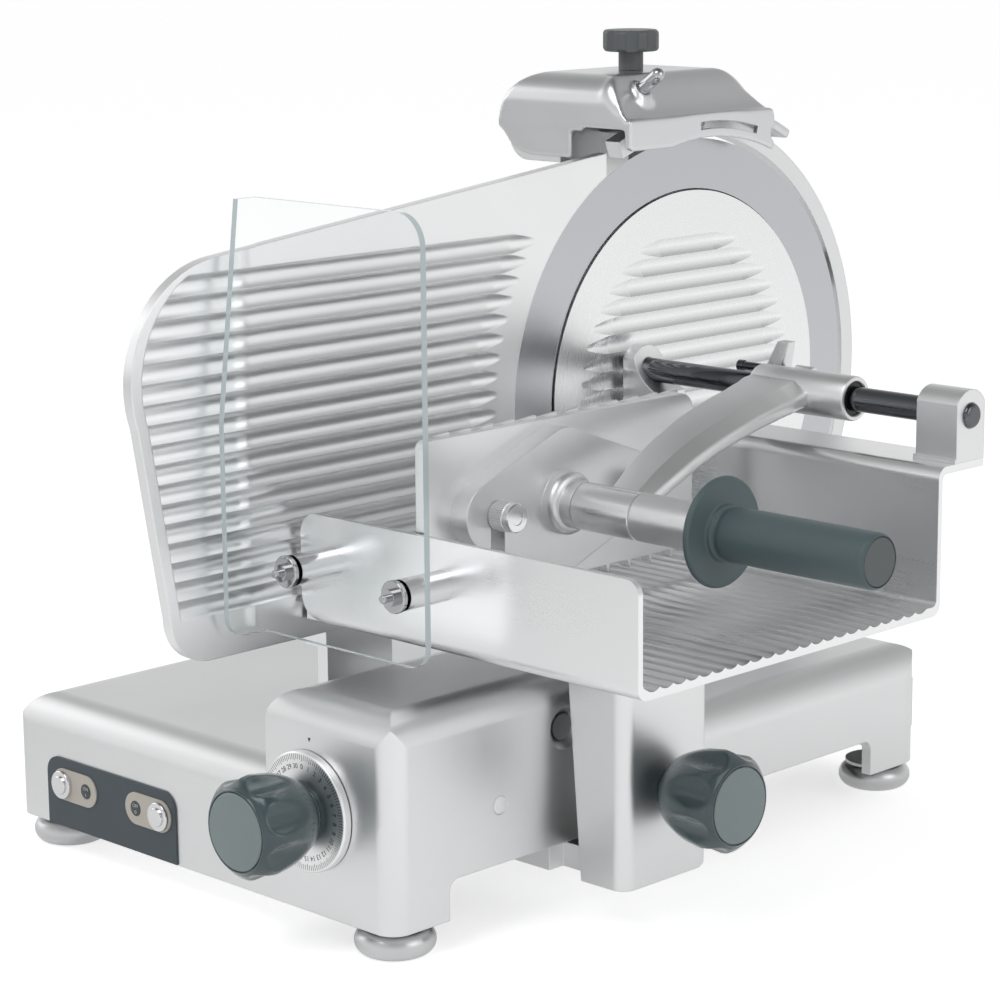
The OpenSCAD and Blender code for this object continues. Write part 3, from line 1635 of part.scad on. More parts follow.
module arm_side() {
  c = arc_c(arm_q, arm_p, arm_sag);
  r = arc_r(arm_q, arm_p, arm_sag);
  intersection() {
    difference() {
      translate(c) circle(r);
      translate(c) circle(r - arm_thick);
    }
    polygon([arm_p + [sleeve_r / 2, sleeve_r], arm_q + [-sleeve_r / 2, sleeve_r],
             arm_q + [-sleeve_r / 2, -sleeve_r], arm_p + [sleeve_r / 2, -2 * sleeve_r]]);
  }
}

// Arm seen from above, drifting to the right: shares of the way across the sleeve and of the reach
arm_shares = [
  [0.02, -0.03], [0.13, 0.1], [0.21, 0.2], [0.3, 0.43], [0.4, 0.66], [0.48, 0.8], [0.59, 0.95],
  [0.59, 1.015], [0.995, 1.015], [0.96, 0.81], [0.93, 0.68], [0.91, 0.49], [0.86, 0.3],
  [0.79, 0.09], [0.71, -0.03]
];
arm_plan = [
  for (p = arm_shares)
    [sleeve_x0 + p[0] * (tube_x1 - sleeve_x0), -arm_y0 - p[1] * (handle_y - arm_y0)]
];

module press_arm() {
  color([0.78, 0.79, 0.80]) place() difference() {
    union() {
      turned_x(sleeve_x0, -rod_y0, rod_z) round4(0, sleeve_r, 0, sleeve_x1 - sleeve_x0, 0, edge_r,
          edge_r, 0);
      intersection() {
        along_x(sleeve_x0, sleeve_x1) arm_side();
        along_z(handle_z - sleeve_r, rod_z + sleeve_r) polygon(arm_plan);
      }
      rod_x(tube_x0, tube_x1, -handle_y, handle_z, tube_r);
      rod_x(latch_boss_x0, latch_boss_x1, -latch_y, latch_z, latch_boss_r);
    }
    rod_x(sleeve_x0 - over, sleeve_x1 + over, -rod_y0, rod_z, rod_r + press_bush_t + run_gap);
    rod_x(sleeve_x0 - over, sleeve_x1, -latch_y, latch_z, latch_r + run_gap);
    rod_x(tube_x0 - over, tube_x1 + over, -handle_y, handle_z, handle_bolt_r + run_gap);
  }
}

module latch_pin() {
  color([0.74, 0.75, 0.76]) place() {
    rod_x(latch_x0, latch_x1, -latch_y, latch_z, latch_r);
    rod_x(latch_x0, latch_x0 + latch_head_t, -latch_y, latch_z, latch_head_r);
    intersection() {
      along_y(-tab_y0, -tab_y1) polygon([
        [tab_x0, tab_z0], [tab_x0 + tab_w, tab_z0], [tab_x0 + tab_lean + tab_top_w, tab_z],
        [tab_x0 + tab_lean, tab_z]
      ]);
      along_x(tab_x0, tab_x0 + 2 * tab_w)
        polygon([[-tab_y0, tab_z0], [-tab_y1, tab_z0], [-tab_top_y1, tab_z], [-tab_y0, tab_z]]);
    }
  }
}

plate_y0 = 366;
plate_z1 = 316;
plate_x1 = bracket_x0;
press_t = 8;
plate_corner = 6;
plate_corner_front = 40;
tooth_l = 3.5;
tooth_r = 3.2;
tooth_nx = 12;
tooth_nz = 4;
// Distance of the outer teeth from the plate's rim, as shares of their pitch
tooth_in_x = 0.7;
tooth_in_z = 0.62;
fang = 5;
fang_w = 4;
fang_n = 9;
// Saw-toothed strip along the plate's top edge
saw_t = 1.5;
saw_h = 1.8;
saw_in = 8;
saw_n = 12;
lobe_share = 0.272;
lobe_far = press_w * lobe_share;
lobe_side_r = 21;
lobe_up = 24.5;
lobe_up_r = 22;
plate_knob_r = 9.5;
plate_knob_l = 17;
plate_knob_far = lobe_far - 6;
plate_slot = 6;
knob_shank_r = 5.4;

module press_outline() {
  z0 = plate_z1 - press_h;
  round4(-plate_y0, -plate_y0 + press_w, z0, plate_z1, plate_corner_front, plate_corner,
      plate_corner * 2, plate_corner);
  for (i = [1 : fang_n]) {
    y = -plate_y0 + plate_corner_front + (press_w - plate_corner_front) * i / (fang_n + 1);
    polygon([[y - fang_w / 2, z0 + over], [y + fang_w / 2, z0 + over], [y, z0 - fang]]);
  }
}

// Middle of the diamond bracket, along the machine and up
diamond_back = 2;
diamond_up = 1;
diamond = [-handle_y + diamond_back, handle_z + diamond_up];

module press_plate() {
  z0 = plate_z1 - press_h;
  face = plate_x1 - press_t;
  color([0.80, 0.81, 0.82]) place() difference() {
    union() {
      along_x(face, plate_x1) press_outline();
      along_x(face - saw_t, face + over) for (i = [0 : saw_n - 1]) {
        pitch = (press_w - 2 * saw_in) / saw_n;
        y = -plate_y0 + saw_in + i * pitch;
        polygon([[y, plate_z1 - saw_in], [y + pitch + saw_t / 2, plate_z1 - saw_in],
                 [y + pitch + saw_t / 2, plate_z1], [y + pitch, plate_z1 + saw_h], [y, plate_z1]]);
      }
      for (i = [0 : tooth_nx - 1])
        for (j = [0 : tooth_nz - 1])
          translate([
            face + over / 4,
            -plate_y0 + press_w * (i + tooth_in_x) / (tooth_nx - 1 + 2 * tooth_in_x),
            z0 + press_h * (j + tooth_in_z) / (tooth_nz - 1 + 2 * tooth_in_z)
          ])
            rotate([0, -90, 0]) cylinder(h = tooth_l + over / 4, r1 = tooth_r, r2 = 0);
    }
    for (s = [-1, 1])
      rod_x(face - tooth_l - over, plate_x1 + over, diamond[0] + s * plate_knob_far, diamond[1],
          knob_shank_r + run_gap);
  }
}

module press_bracket() {
  color([0.66, 0.67, 0.69]) place() {
    along_x(bracket_x0, bracket_x0 + bracket_pt) translate(diamond) difference() {
      union() {
        for (s = [-1, 1]) for (t = [-1, 1])
          strap2([0, t * lobe_up], [s * lobe_far, 0], lobe_up_r, lobe_side_r);
        polygon([[0, lobe_up], [lobe_far, 0], [0, -lobe_up], [-lobe_far, 0]]);
      }
      for (s = [-1, 1]) {
        rect2(s * plate_knob_far - plate_slot, s * plate_knob_far + plate_slot, -lobe_far, 0);
        translate([s * plate_knob_far, 0]) circle(plate_slot);
      }
    }
    turned_x(bracket_x0 + bracket_pt, -handle_y, handle_z) difference() {
      union() {
        rect2(0, tube_r, 0, tube_x0 - bracket_x0 - bracket_pt);
        rect2(0, tube_r + tube_flare, 0, tube_flare);
        translate([tube_r, tube_flare]) circle(tube_flare);
      }
      rect2(-tube_r, 0, -over, tube_x1);
      rect2(0, 2 * tube_r, -tube_flare, 0);
    }
    rod_x(bracket_x0 + bracket_pt - over, grip_end - 2 * grip_root - over, -handle_y, handle_z,
        handle_bolt_r);
  }
}

module plate_knobs() {
  color([0.78, 0.78, 0.80]) place() for (s = [-1, 1]) {
    rod_x(plate_x1 - press_t, bracket_x0 + bracket_pt + over, diamond[0] + s * plate_knob_far,
        diamond[1], knob_shank_r);
    turned_x(bracket_x0 + bracket_pt, diamond[0] + s * plate_knob_far, diamond[1])
      round4(0, plate_knob_r, 0, plate_knob_l, 0, edge_r, edge_r, 0);
  }
}

disc_t = 4.5;
grip_root_r = 18;
grip_root = 6;
grip_round = 2;

module press_grip() {
  color([0.28, 0.36, 0.37]) place() {
    difference() {
      turned_x(tube_x2, -handle_y, handle_z) {
        round4(0, disc_d / 2, 0, disc_t, 0, grip_round, grip_round, 0);
        round4(0, grip_root_r, disc_t - over, disc_t + grip_root, 0, 0, grip_round, 0);
        round4(0, grip_d / 2, disc_t, grip_end - tube_x2, 0, 0, grip_round, 0);
      }
      rod_x(tube_x1, grip_end - 2 * grip_root, -handle_y, handle_z, handle_bolt_r + run_gap);
    }
    difference() {
      rod_x(tube_x1 + free_gap, tube_x2 + over, -handle_y, handle_z, tube_r);
      rod_x(tube_x1, tube_x2 + 2 * over, -handle_y, handle_z, handle_bolt_r + run_gap);
    }
  }
}

base_casting();
bottom_plate();
feet();
foot_studs();
plate_screws();
control_panel();
pill_surrounds();
switch_bodies();
on_button();
off_button();
cord_gland();
side_screws();
gauge_rods();
guide_rods();
blade_support();
blade_bearings();
drive_cover();
motor_cover();
motor();
drive_belt();
motor_pulley();
blade_shaft();
blade();
blade_screws();
blade_pulley();
blade_cover();
cover_knob();
guard_ring();
slice_deflector();
sharpener_base();
sharpener_hood();
sharpener_knob();
sharpener_pin();
stone_carrier();
grinding_wheel();
honing_wheel();
gauge_plate();
gauge_slide();
gauge_screws();
dial_bush();
dial_disc();
dial_knob();
dial_cam();
carriage_foot();
foot_bushes();
carriage_column();
lock_knob();
carriage_tray();
rod_pillars();
press_rod();
guard_pegs();
blade_guard();
guard_nuts();
press_bushes();
press_arm();
latch_pin();
press_plate();
press_bracket();
plate_knobs();
press_grip();
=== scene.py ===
"""Looks of an electric vertical meat slicer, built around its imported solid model.

Lengths in the classes are millimetres, measured as the solids are: x across from the blade's
cutting plane, y back from the blade's axis and z up from the table. spot() turns them into the
row frame's metres.
"""

from __future__ import annotations

import logging
import math
from collections.abc import Callable, Iterable, Sequence
from dataclasses import dataclass, field
from enum import Enum

import bmesh
import bpy
from mathutils import Matrix, Vector

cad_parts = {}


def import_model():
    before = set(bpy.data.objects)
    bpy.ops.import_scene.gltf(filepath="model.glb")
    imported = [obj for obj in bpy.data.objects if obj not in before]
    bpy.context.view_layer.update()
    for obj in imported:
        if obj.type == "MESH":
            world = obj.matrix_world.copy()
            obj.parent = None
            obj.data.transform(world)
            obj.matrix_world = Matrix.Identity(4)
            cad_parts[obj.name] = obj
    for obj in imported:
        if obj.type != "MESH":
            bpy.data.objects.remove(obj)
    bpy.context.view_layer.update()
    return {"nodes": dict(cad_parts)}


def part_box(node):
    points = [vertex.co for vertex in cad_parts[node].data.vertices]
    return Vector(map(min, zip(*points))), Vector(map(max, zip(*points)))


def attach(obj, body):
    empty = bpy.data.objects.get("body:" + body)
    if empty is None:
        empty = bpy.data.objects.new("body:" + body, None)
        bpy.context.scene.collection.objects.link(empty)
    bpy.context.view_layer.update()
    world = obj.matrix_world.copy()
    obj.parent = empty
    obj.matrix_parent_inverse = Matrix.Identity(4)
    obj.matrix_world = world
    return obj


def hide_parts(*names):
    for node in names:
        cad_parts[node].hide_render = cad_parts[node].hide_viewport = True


LOG = logging.getLogger("slicer")
MM = 0.001
WELD = 0.00001
CLOUD_EDGES = (0.3, 0.7)
MIX_INPUTS = (0, 6, 7)
MIX_RESULT = 2
ORIGIN = Vector((-66.0, 155.75, 0.0))
BLADE_HEIGHT = 294.0
Point = tuple[float, float]
Colour = tuple[float, float, float]


def spot(x: float, y: float, z: float) -> Vector:
    """A place in the row frame.

    Args:
        x: Millimetres right of the cutting plane.
        y: Millimetres behind the blade's axis.
        z: Millimetres above the table.

    Returns:
        The same place in metres, in the row frame.
    """
    return (Vector((x, y, z)) + ORIGIN) * MM


def linked(name: str, data: bpy.types.ID) -> bpy.types.Object:
    """A new object in the scene.

    Args:
        name: The object's name.
        data: Its mesh, text, light or camera.

    Returns:
        The object.
    """
    thing = bpy.data.objects.new(name, data)
    bpy.context.scene.collection.objects.link(thing)
    return thing


def evaluated(thing: bpy.types.Object) -> bpy.types.Mesh:
    """The mesh that an object's text or modifiers make.

    Args:
        thing: The object.

    Returns:
        A new mesh.
    """
    bpy.context.view_layer.update()
    return bpy.data.meshes.new_from_object(thing.evaluated_get(bpy.context.evaluated_depsgraph_get()))


class Axis(Enum):
    """The way a turned piece's profile grows, as (growth, first radial, second radial)."""

    RIGHT = ((1, 0, 0), (0, 1, 0), (0, 0, 1))
    FRONT = ((0, -1, 0), (1, 0, 0), (0, 0, 1))

    def vectors(self) -> tuple[Vector, Vector, Vector]:
        """The three directions as vectors.

        Returns:
            The growth and both radial ways.
        """
        return tuple(Vector(way) for way in self.value)


# Shader node groups, shared by the finishes


class NodeTree:
    """A thin layer over a node tree that makes nodes and links in one call."""

    def __init__(self, tree: bpy.types.NodeTree) -> None:
        """Keeps the tree.

        Args:
            tree: The node tree to add to.
        """
        self.tree = tree

    def add(self, kind: str, **values: object) -> bpy.types.Node:
        """Adds a node and sets it up.

        Args:
            kind: The node's type name without its ShaderNode start.
            **values: Attributes by name, or input sockets whose name starts with in_.

        Returns:
            The node.
        """
        node = self.tree.nodes.new("ShaderNode" + kind)
        for key, value in values.items():
            if key.startswith("in_"):
                self.feed(node.inputs[key[3:].replace("_", " ")], value)
            else:
                setattr(node, key, value)
        return node

    def feed(self, socket: bpy.types.NodeSocket, value: object) -> None:
        """Links an output to a socket, or sets the socket's own value.

        Args:
            socket: The input.
            value: An output socket or a plain value.
        """
        if isinstance(value, bpy.types.NodeSocket):
            self.tree.links.new(value, socket)
        else:
            socket.default_value = value

    def maths(self, operation: str, *values: object) -> bpy.types.NodeSocket:
        """A Math node.

        Args:
            operation: The operation's name.
            *values: Its inputs in order.

        Returns:
            Its output.
        """
        node = self.add("Math", operation=operation)
        for socket, value in zip(node.inputs, values):
            self.feed(socket, value)
        return node.outputs[0]

    def blend(self, share: object, low: object, high: object) -> bpy.types.NodeSocket:
        """A colour that runs from low to high with share.

        Args:
            share: 0 for low and 1 for high.
            low: The first colour.
            high: The second colour.

        Returns:
            The colour's socket.
        """
        node = self.add("Mix", data_type="RGBA")
        for index, value in zip(MIX_INPUTS, (share, low, high)):
            self.feed(node.inputs[index], value)
        return node.outputs[MIX_RESULT]

    def ramp(
        self, value: object, low: float, high: float, out_low: float = 0.0, out_high: float = 1.0
    ) -> bpy.types.NodeSocket:
        """A clamped map from one range to another.

        Args:
            value: The number to map.
            low: The start of its range.
            high: The end of its range.
            out_low: What low becomes.
            out_high: What high becomes.

        Returns:
            The mapped number's socket.
        """
        node = self.add("MapRange")
        for socket, number in zip(node.inputs, (value, low, high, out_low, out_high)):
            self.feed(socket, number)
        return node.outputs[0]


class Effect:
    """A shader node group that more than one finish uses."""

    name = "effect"
    inputs: tuple[tuple[str, str, object], ...] = ()
    outputs: tuple[tuple[str, str], ...] = ()

    def __init__(self) -> None:
        """Builds the group once."""
        self.group = bpy.data.node_groups.new(self.name, "ShaderNodeTree")
        for label, kind, value in self.inputs:
            socket = self.group.interface.new_socket(label, in_out="INPUT", socket_type="NodeSocket" + kind)
            socket.default_value = value
        for label, kind in self.outputs:
            self.group.interface.new_socket(label, in_out="OUTPUT", socket_type="NodeSocket" + kind)
        tree = NodeTree(self.group)
        start = self.group.nodes.new("NodeGroupInput")
        end = self.group.nodes.new("NodeGroupOutput")
        self.draw(tree, start.outputs, end.inputs)

    def draw(self, tree: NodeTree, given: bpy.types.NodeOutputs, out: bpy.types.NodeInputs) -> None:
        """Fills the group.

        Args:
            tree: The group's tree.
            given: What the material feeds in.
            out: The sockets to feed.
        """
        raise NotImplementedError

    def place(self, tree: NodeTree, **values: object) -> bpy.types.NodeOutputs:
        """Puts the group into a material.

        Args:
            tree: The material's tree.
            **values: The group's inputs by name.

        Returns:
            The group's outputs.
        """
        node = tree.add("Group")
        node.node_tree = self.group
        for key, value in values.items():
            tree.feed(node.inputs[key.replace("_", " ")], value)
        return node.outputs


class Grain(Effect):
    """Fine cast or moulded grain: a height, and a slow cloud for roughness and colour."""

    name = "grain"
    inputs = (("Scale", "Float", 900.0), ("Cloud Scale", "Float", 9.0))
    outputs = (("Height", "Float"), ("Cloud", "Float"))
    fine = {"in_Detail": 3.0, "in_Roughness": 0.6}
    slow = {"in_Detail": 4.0, "in_Roughness": 0.55}

    def draw(self, tree: NodeTree, given: bpy.types.NodeOutputs, out: bpy.types.NodeInputs) -> None:
        """Two noises in object space.

        Args:
            tree: The group's tree.
            given: The group's inputs.
            out: The group's outputs.
        """
        place = tree.add("TexCoord").outputs["Object"]
        fine = tree.add("TexNoise", in_Vector=place, in_Scale=given["Scale"], **self.fine)
        slow = tree.add("TexNoise", in_Vector=place, in_Scale=given["Cloud Scale"], **self.slow)
        tree.feed(out["Height"], fine.outputs["Fac"])
        tree.feed(out["Cloud"], tree.ramp(slow.outputs["Fac"], *CLOUD_EDGES))


class Brushing(Effect):
    """Long fine scratches along one axis: a height and a mask."""

    name = "brushing"
    inputs = (("Stretch", "Vector", (6.0, 900.0, 900.0)), ("Cloud Scale", "Float", 7.0))
    outputs = (("Height", "Float"), ("Cloud", "Float"))
    fine = {"in_Scale": 1.0, "in_Detail": 4.0, "in_Roughness": 0.7}
    slow = {"in_Detail": 3.0}

    def draw(self, tree: NodeTree, given: bpy.types.NodeOutputs, out: bpy.types.NodeInputs) -> None:
        """One stretched noise and one slow one.

        Args:
            tree: The group's tree.
            given: The group's inputs.
            out: The group's outputs.
        """
        place = tree.add("TexCoord").outputs["Object"]
        long_place = tree.add("VectorMath", operation="MULTIPLY")
        tree.feed(long_place.inputs[0], place)
        tree.feed(long_place.inputs[1], given["Stretch"])
        lines = tree.add("TexNoise", in_Vector=long_place.outputs[0], **self.fine)
        slow = tree.add("TexNoise", in_Vector=place, in_Scale=given["Cloud Scale"], **self.slow)
        tree.feed(out["Height"], lines.outputs["Fac"])
        tree.feed(out["Cloud"], tree.ramp(slow.outputs["Fac"], *CLOUD_EDGES))


class Turning(Effect):
    """Fine rings round an axis along X, as on a ground disc: a height."""

    name = "turning"
    inputs = (("Middle", "Vector", (0.0, 0.0, 0.0)), ("Rings", "Float", 1400.0))
    outputs = (("Height", "Float"),)

    def draw(self, tree: NodeTree, given: bpy.types.NodeOutputs, out: bpy.types.NodeInputs) -> None:
        """Noise read along the radius.

        Args:
            tree: The group's tree.
            given: The group's inputs.
            out: The group's outputs.
        """
        place = tree.add("TexCoord").outputs["Object"]
        off = tree.add("VectorMath", operation="SUBTRACT")
        tree.feed(off.inputs[0], place)
        tree.feed(off.inputs[1], given["Middle"])
        flat = tree.add("VectorMath", operation="MULTIPLY")
        tree.feed(flat.inputs[0], off.outputs[0])
        flat.inputs[1].default_value = (0.0, 1.0, 1.0)
        radius = tree.add("VectorMath", operation="LENGTH")
        tree.feed(radius.inputs[0], flat.outputs[0])
        rings = tree.add("TexNoise", noise_dimensions="1D", in_Scale=given["Rings"], in_Detail=2.0)
        tree.feed(rings.inputs["W"], radius.outputs["Value"])
        tree.feed(out["Height"], rings.outputs["Fac"])


@dataclass
class Effects:
    """The shared node groups."""

    grain: Grain = field(default_factory=Grain)
    brushing: Brushing = field(default_factory=Brushing)
    turning: Turning = field(default_factory=Turning)


# Finishes


@dataclass(frozen=True)
class Finish:
    """What every finish has: a name, a colour and a roughness."""

    name: str
    colour: Colour
    roughness: float = 0.4
    slot: str = "steel"
    tints: tuple[float, float] = (0.97, 1.02)
    play: tuple[float, float] = (-0.04, 0.04)
    depth: float = 0.0004
    bump: float = 0.05

    def start(self) -> tuple[bpy.types.Material, NodeTree, bpy.types.Node]:
        """An empty material with its shader.

        Returns:
            The material, its tree and its Principled BSDF.
        """
        material = bpy.data.materials.new(self.name)
        material.use_nodes = True
        tree = NodeTree(material.node_tree)
        shader = material.node_tree.nodes["Principled BSDF"]
        shader.inputs["Base Color"].default_value = (*self.colour, 1.0)
        shader.inputs["Roughness"].default_value = self.roughness
        return material, tree, shader

    def tones(self) -> tuple[float, float]:
        """What the colour is multiplied by.

        Returns:
            The factors where it is darkest and lightest.
        """
        return self.tints

    def vary(
        self,
        tree: NodeTree,
        shader: bpy.types.Node,
        tinted: object,
        rough: object,
        edges: tuple[float, float] = (0.0, 1.0),
    ) -> None:
        """Lets the colour and the roughness drift with what an effect puts out.

        Args:
            tree: The material's tree.
            shader: Its Principled BSDF.
            tinted: What the colour follows, from 0 to 1.
            rough: What the roughness follows.
            edges: Where the roughness starts and stops following it.
        """
        low, high = (shade(self.colour, factor) for factor in self.tones())
        tree.feed(shader.inputs["Base Color"], tree.blend(tinted, low, high))
        ends = (self.roughness + step for step in self.play)
        tree.feed(shader.inputs["Roughness"], tree.ramp(rough, *edges, *ends))

    def relief(self, tree: NodeTree, shader: bpy.types.Node, height: object) -> bpy.types.Node:
        """Lets a height stand out of the surface.

        Args:
            tree: The material's tree.
            shader: Its Principled BSDF.
            height: The height's socket.

        Returns:
            The Bump node.
        """
        bump = tree.add("Bump", in_Strength=self.bump, in_Distance=self.depth, in_Height=height)
        tree.feed(shader.inputs["Normal"], bump.outputs[0])
        return bump

    def make(self, effects: Effects) -> bpy.types.Material:
        """The finished material.

        Args:
            effects: The shared node groups.

        Returns:
            The material.
        """
        raise NotImplementedError


def shade(colour: Colour, factor: float) -> tuple[float, float, float, float]:
    """A lighter or darker colour.

    Args:
        colour: The colour.
        factor: What it is multiplied by.

    Returns:
        The colour with alpha.
    """
    return (*(min(1.0, c * factor) for c in colour), 1.0)


@dataclass(frozen=True)
class CastMetal(Finish):
    """Satin cast or blasted aluminium."""

    bump: float = 0.06
    scale: float = 900.0
    edge: float = 0.0011
    edge_samples: int = 4

    def make(self, effects: Effects) -> bpy.types.Material:
        """Grain in the height, clouds in roughness and colour, and softened edges.

        Args:
            effects: The shared node groups.

        Returns:
            The material.
        """
        material, tree, shader = self.start()
        shader.inputs["Metallic"].default_value = 1.0
        grain = effects.grain.place(tree, Scale=self.scale)
        self.vary(tree, shader, grain["Cloud"], grain["Cloud"])
        soft = tree.add("Bevel", samples=self.edge_samples, in_Radius=self.edge)
        bump = self.relief(tree, shader, grain["Height"])
        tree.feed(bump.inputs["Normal"], soft.outputs[0])
        return material


@dataclass(frozen=True)
class BrushedMetal(Finish):
    """Metal with fine scratches along one axis."""

    stretch: tuple[float, float, float] = (6.0, 900.0, 900.0)
    play: tuple[float, float] = (-0.04, 0.05)
    depth: float = 0.0003
    edges: tuple[float, float] = (0.2, 0.8)
    cloud_share: float = 0.5

    def make(self, effects: Effects) -> bpy.types.Material:
        """Scratches in height, roughness and colour.

        Args:
            effects: The shared node groups.

        Returns:
            The material.
        """
        material, tree, shader = self.start()
        shader.inputs["Metallic"].default_value = 1.0
        lines = effects.brushing.place(tree, Stretch=self.stretch)
        clouds = tree.maths("MULTIPLY", lines["Cloud"], self.cloud_share)
        mixed = tree.maths("MULTIPLY_ADD", lines["Height"], 1 - self.cloud_share, clouds)
        self.vary(tree, shader, mixed, mixed, self.edges)
        self.relief(tree, shader, lines["Height"])
        return material


@dataclass(frozen=True)
class GroundMetal(Finish):
    """Metal ground in rings round the blade's axis."""

    middle: Vector = field(default_factory=lambda: spot(0, 0, BLADE_HEIGHT))
    tints: tuple[float, float] = (0.985, 1.015)
    play: tuple[float, float] = (-0.015, 0.02)
    depth: float = 0.0002
    bump: float = 0.012
    rings: float = 700.0

    def make(self, effects: Effects) -> bpy.types.Material:
        """Rings in height and roughness.

        Args:
            effects: The shared node groups.

        Returns:
            The material.
        """
        material, tree, shader = self.start()
        shader.inputs["Metallic"].default_value = 1.0
        rings = effects.turning.place(tree, Middle=self.middle, Rings=self.rings)
        self.vary(tree, shader, rings["Height"], rings["Height"], CLOUD_EDGES)
        self.relief(tree, shader, rings["Height"])
        return material


@dataclass(frozen=True)
class Moulded(Finish):
    """Moulded plastic or rubber, from matt to gloss."""

    coat: float = 0.0
    coat_roughness: float = 0.08
    play: tuple[float, float] = (-0.03, 0.05)
    bump: float = 0.1
    scale: float = 700.0
    cloud_scale: float = 22.0
    mottle: float = 0.06
    grain_share: float = 0.6
    cloud_share: float = 0.4

    def tones(self) -> tuple[float, float]:
        """What the colour is multiplied by.

        Returns:
            The factors where it is darkest and lightest.
        """
        return 1 - self.mottle, 1 + self.mottle

    def make(self, effects: Effects) -> bpy.types.Material:
        """Stipple in the height, clouds in colour and roughness.

        Args:
            effects: The shared node groups.

        Returns:
            The material.
        """
        material, tree, shader = self.start()
        shader.inputs["Coat Weight"].default_value = self.coat
        shader.inputs["Coat Roughness"].default_value = self.coat_roughness
        grain = effects.grain.place(tree, Scale=self.scale, Cloud_Scale=self.cloud_scale)
        clouds = tree.maths("MULTIPLY", grain["Cloud"], self.cloud_share)
        mixed = tree.maths("MULTIPLY_ADD", grain["Height"], self.grain_share, clouds)
        self.vary(tree, shader, mixed, grain["Cloud"])
        self.relief(tree, shader, grain["Height"])
        return material


@dataclass(frozen=True)
class ClearSheet(Finish):
    """Clear acrylic: it lets light through and shines at grazing angles."""

    tints: tuple[float, float] = (0.99, 1.0)
    play: tuple[float, float] = (0.0, 0.02)
    index: float = 1.12
    scale: float = 40.0
    cloud_scale: float = 5.0

    def make(self, effects: Effects) -> bpy.types.Material:
        """Glass-like transmission with faint smears.

        Args:
            effects: The shared node groups.

        Returns:
            The material.
        """
        material, tree, shader = self.start()
        shader.inputs["Transmission Weight"].default_value = 1.0
        shader.inputs["IOR"].default_value = self.index
        grain = effects.grain.place(tree, Scale=self.scale, Cloud_Scale=self.cloud_scale)
        self.vary(tree, shader, grain["Cloud"], grain["Cloud"])
        return material


class Kind(Enum):
    """The finishes by the piece they suit."""

    CASTING = CastMetal("cast_aluminium", (0.76, 0.765, 0.77), 0.38, "cast_aluminium")
    HOOD = CastMetal("hood_casting", (0.66, 0.665, 0.675), 0.30, "cast_aluminium")
    PLATE = CastMetal(
        "anodised_plate", (0.86, 0.865, 0.87), 0.34, "plate_aluminium", scale=1400.0, bump=0.03
    )
    TRAY = BrushedMetal("tray_aluminium", (0.82, 0.825, 0.83), 0.30, "plate_aluminium", bump=0.008)
    SATIN = BrushedMetal(
        "satin_hub", (0.78, 0.785, 0.79), 0.22, "cast_aluminium", stretch=(900.0, 9.0, 9.0), bump=0.02
    )
    STEEL = BrushedMetal(
        "polished_steel", (0.74, 0.74, 0.75), 0.14, "steel", stretch=(500.0, 500.0, 500.0), bump=0.01
    )
    # Polished chrome for the press rod and the latch rod. Its near-black base colour is a painted dark
    # reflection of dark surroundings mirrored in the rods.
    CHROME_PAINTED_DARK_REFLECTION = BrushedMetal(
        "dark_chrome", (0.13, 0.135, 0.145), 0.10, "dark_chrome", stretch=(900.0, 8.0, 8.0), bump=0.01
    )
    BLADE = GroundMetal("ground_blade", (0.53, 0.54, 0.56), 0.24, "steel")
    COVER = GroundMetal("polished_cover", (0.84, 0.845, 0.85), 0.28, "plate_aluminium", bump=0.003)
    CHROME = BrushedMetal(
        "chrome", (0.46, 0.465, 0.475), 0.08, "steel", stretch=(500.0, 500.0, 500.0), bump=0.004
    )
    KNOB = Moulded(
        "knob_plastic", (0.040, 0.072, 0.082), 0.24, "knob_plastic", coat=0.5, bump=0.02, mottle=0.1
    )
    CAP = Moulded("cap_plastic", (0.23, 0.285, 0.29), 0.35, "knob_plastic", bump=0.02)
    GRIP = Moulded("grip_plastic", (0.080, 0.118, 0.126), 0.42, "grip_plastic", bump=0.35, scale=1500.0)
    GRIP_CAP = Moulded("grip_cap", (0.10, 0.115, 0.115), 0.45, "grip_plastic", bump=0.2, scale=1500.0)
    GREY = Moulded("grey_plastic", (0.11, 0.12, 0.125), 0.42, "grey_plastic", bump=0.05)
    PANEL = Moulded(
        "panel_sheet", (0.058, 0.078, 0.09), 0.45, "panel_plastic", bump=0.1, scale=1500.0, mottle=0.14
    )
    PALE = Moulded("pale_plastic", (0.60, 0.56, 0.50), 0.5, "pale_plastic", bump=0.03)
    BLACK = Moulded("black_plastic", (0.012, 0.012, 0.013), 0.4, "black_plastic")
    RUBBER = Moulded("black_rubber", (0.015, 0.015, 0.016), 0.7, "black_rubber")
    INK = Moulded("dial_ink", (0.02, 0.022, 0.025), 0.6, "black_plastic", bump=0.0)
    PAINT = Moulded("motor_paint", (0.05, 0.06, 0.07), 0.4, "motor_paint", coat=0.3)
    CLEAR = ClearSheet("clear_acrylic", (0.97, 0.985, 0.985), 0.01, "clear_acrylic")
    SHEET_EDGE = Moulded("acrylic_edge", (0.56, 0.64, 0.66), 0.2, "clear_acrylic", coat=0.5, bump=0.0)
    BRONZE = BrushedMetal("bronze", (0.62, 0.46, 0.24), 0.3, "bronze")
    FOOT = CastMetal("foot_metal", (0.60, 0.605, 0.61), 0.34, "foot_metal")
    COARSE = Moulded("coarse_stone", (0.28, 0.12, 0.09), 0.9, "coarse_stone", bump=0.6, scale=2500.0)
    FINE = Moulded("fine_stone", (0.62, 0.60, 0.56), 0.85, "fine_stone", bump=0.4, scale=3000.0)


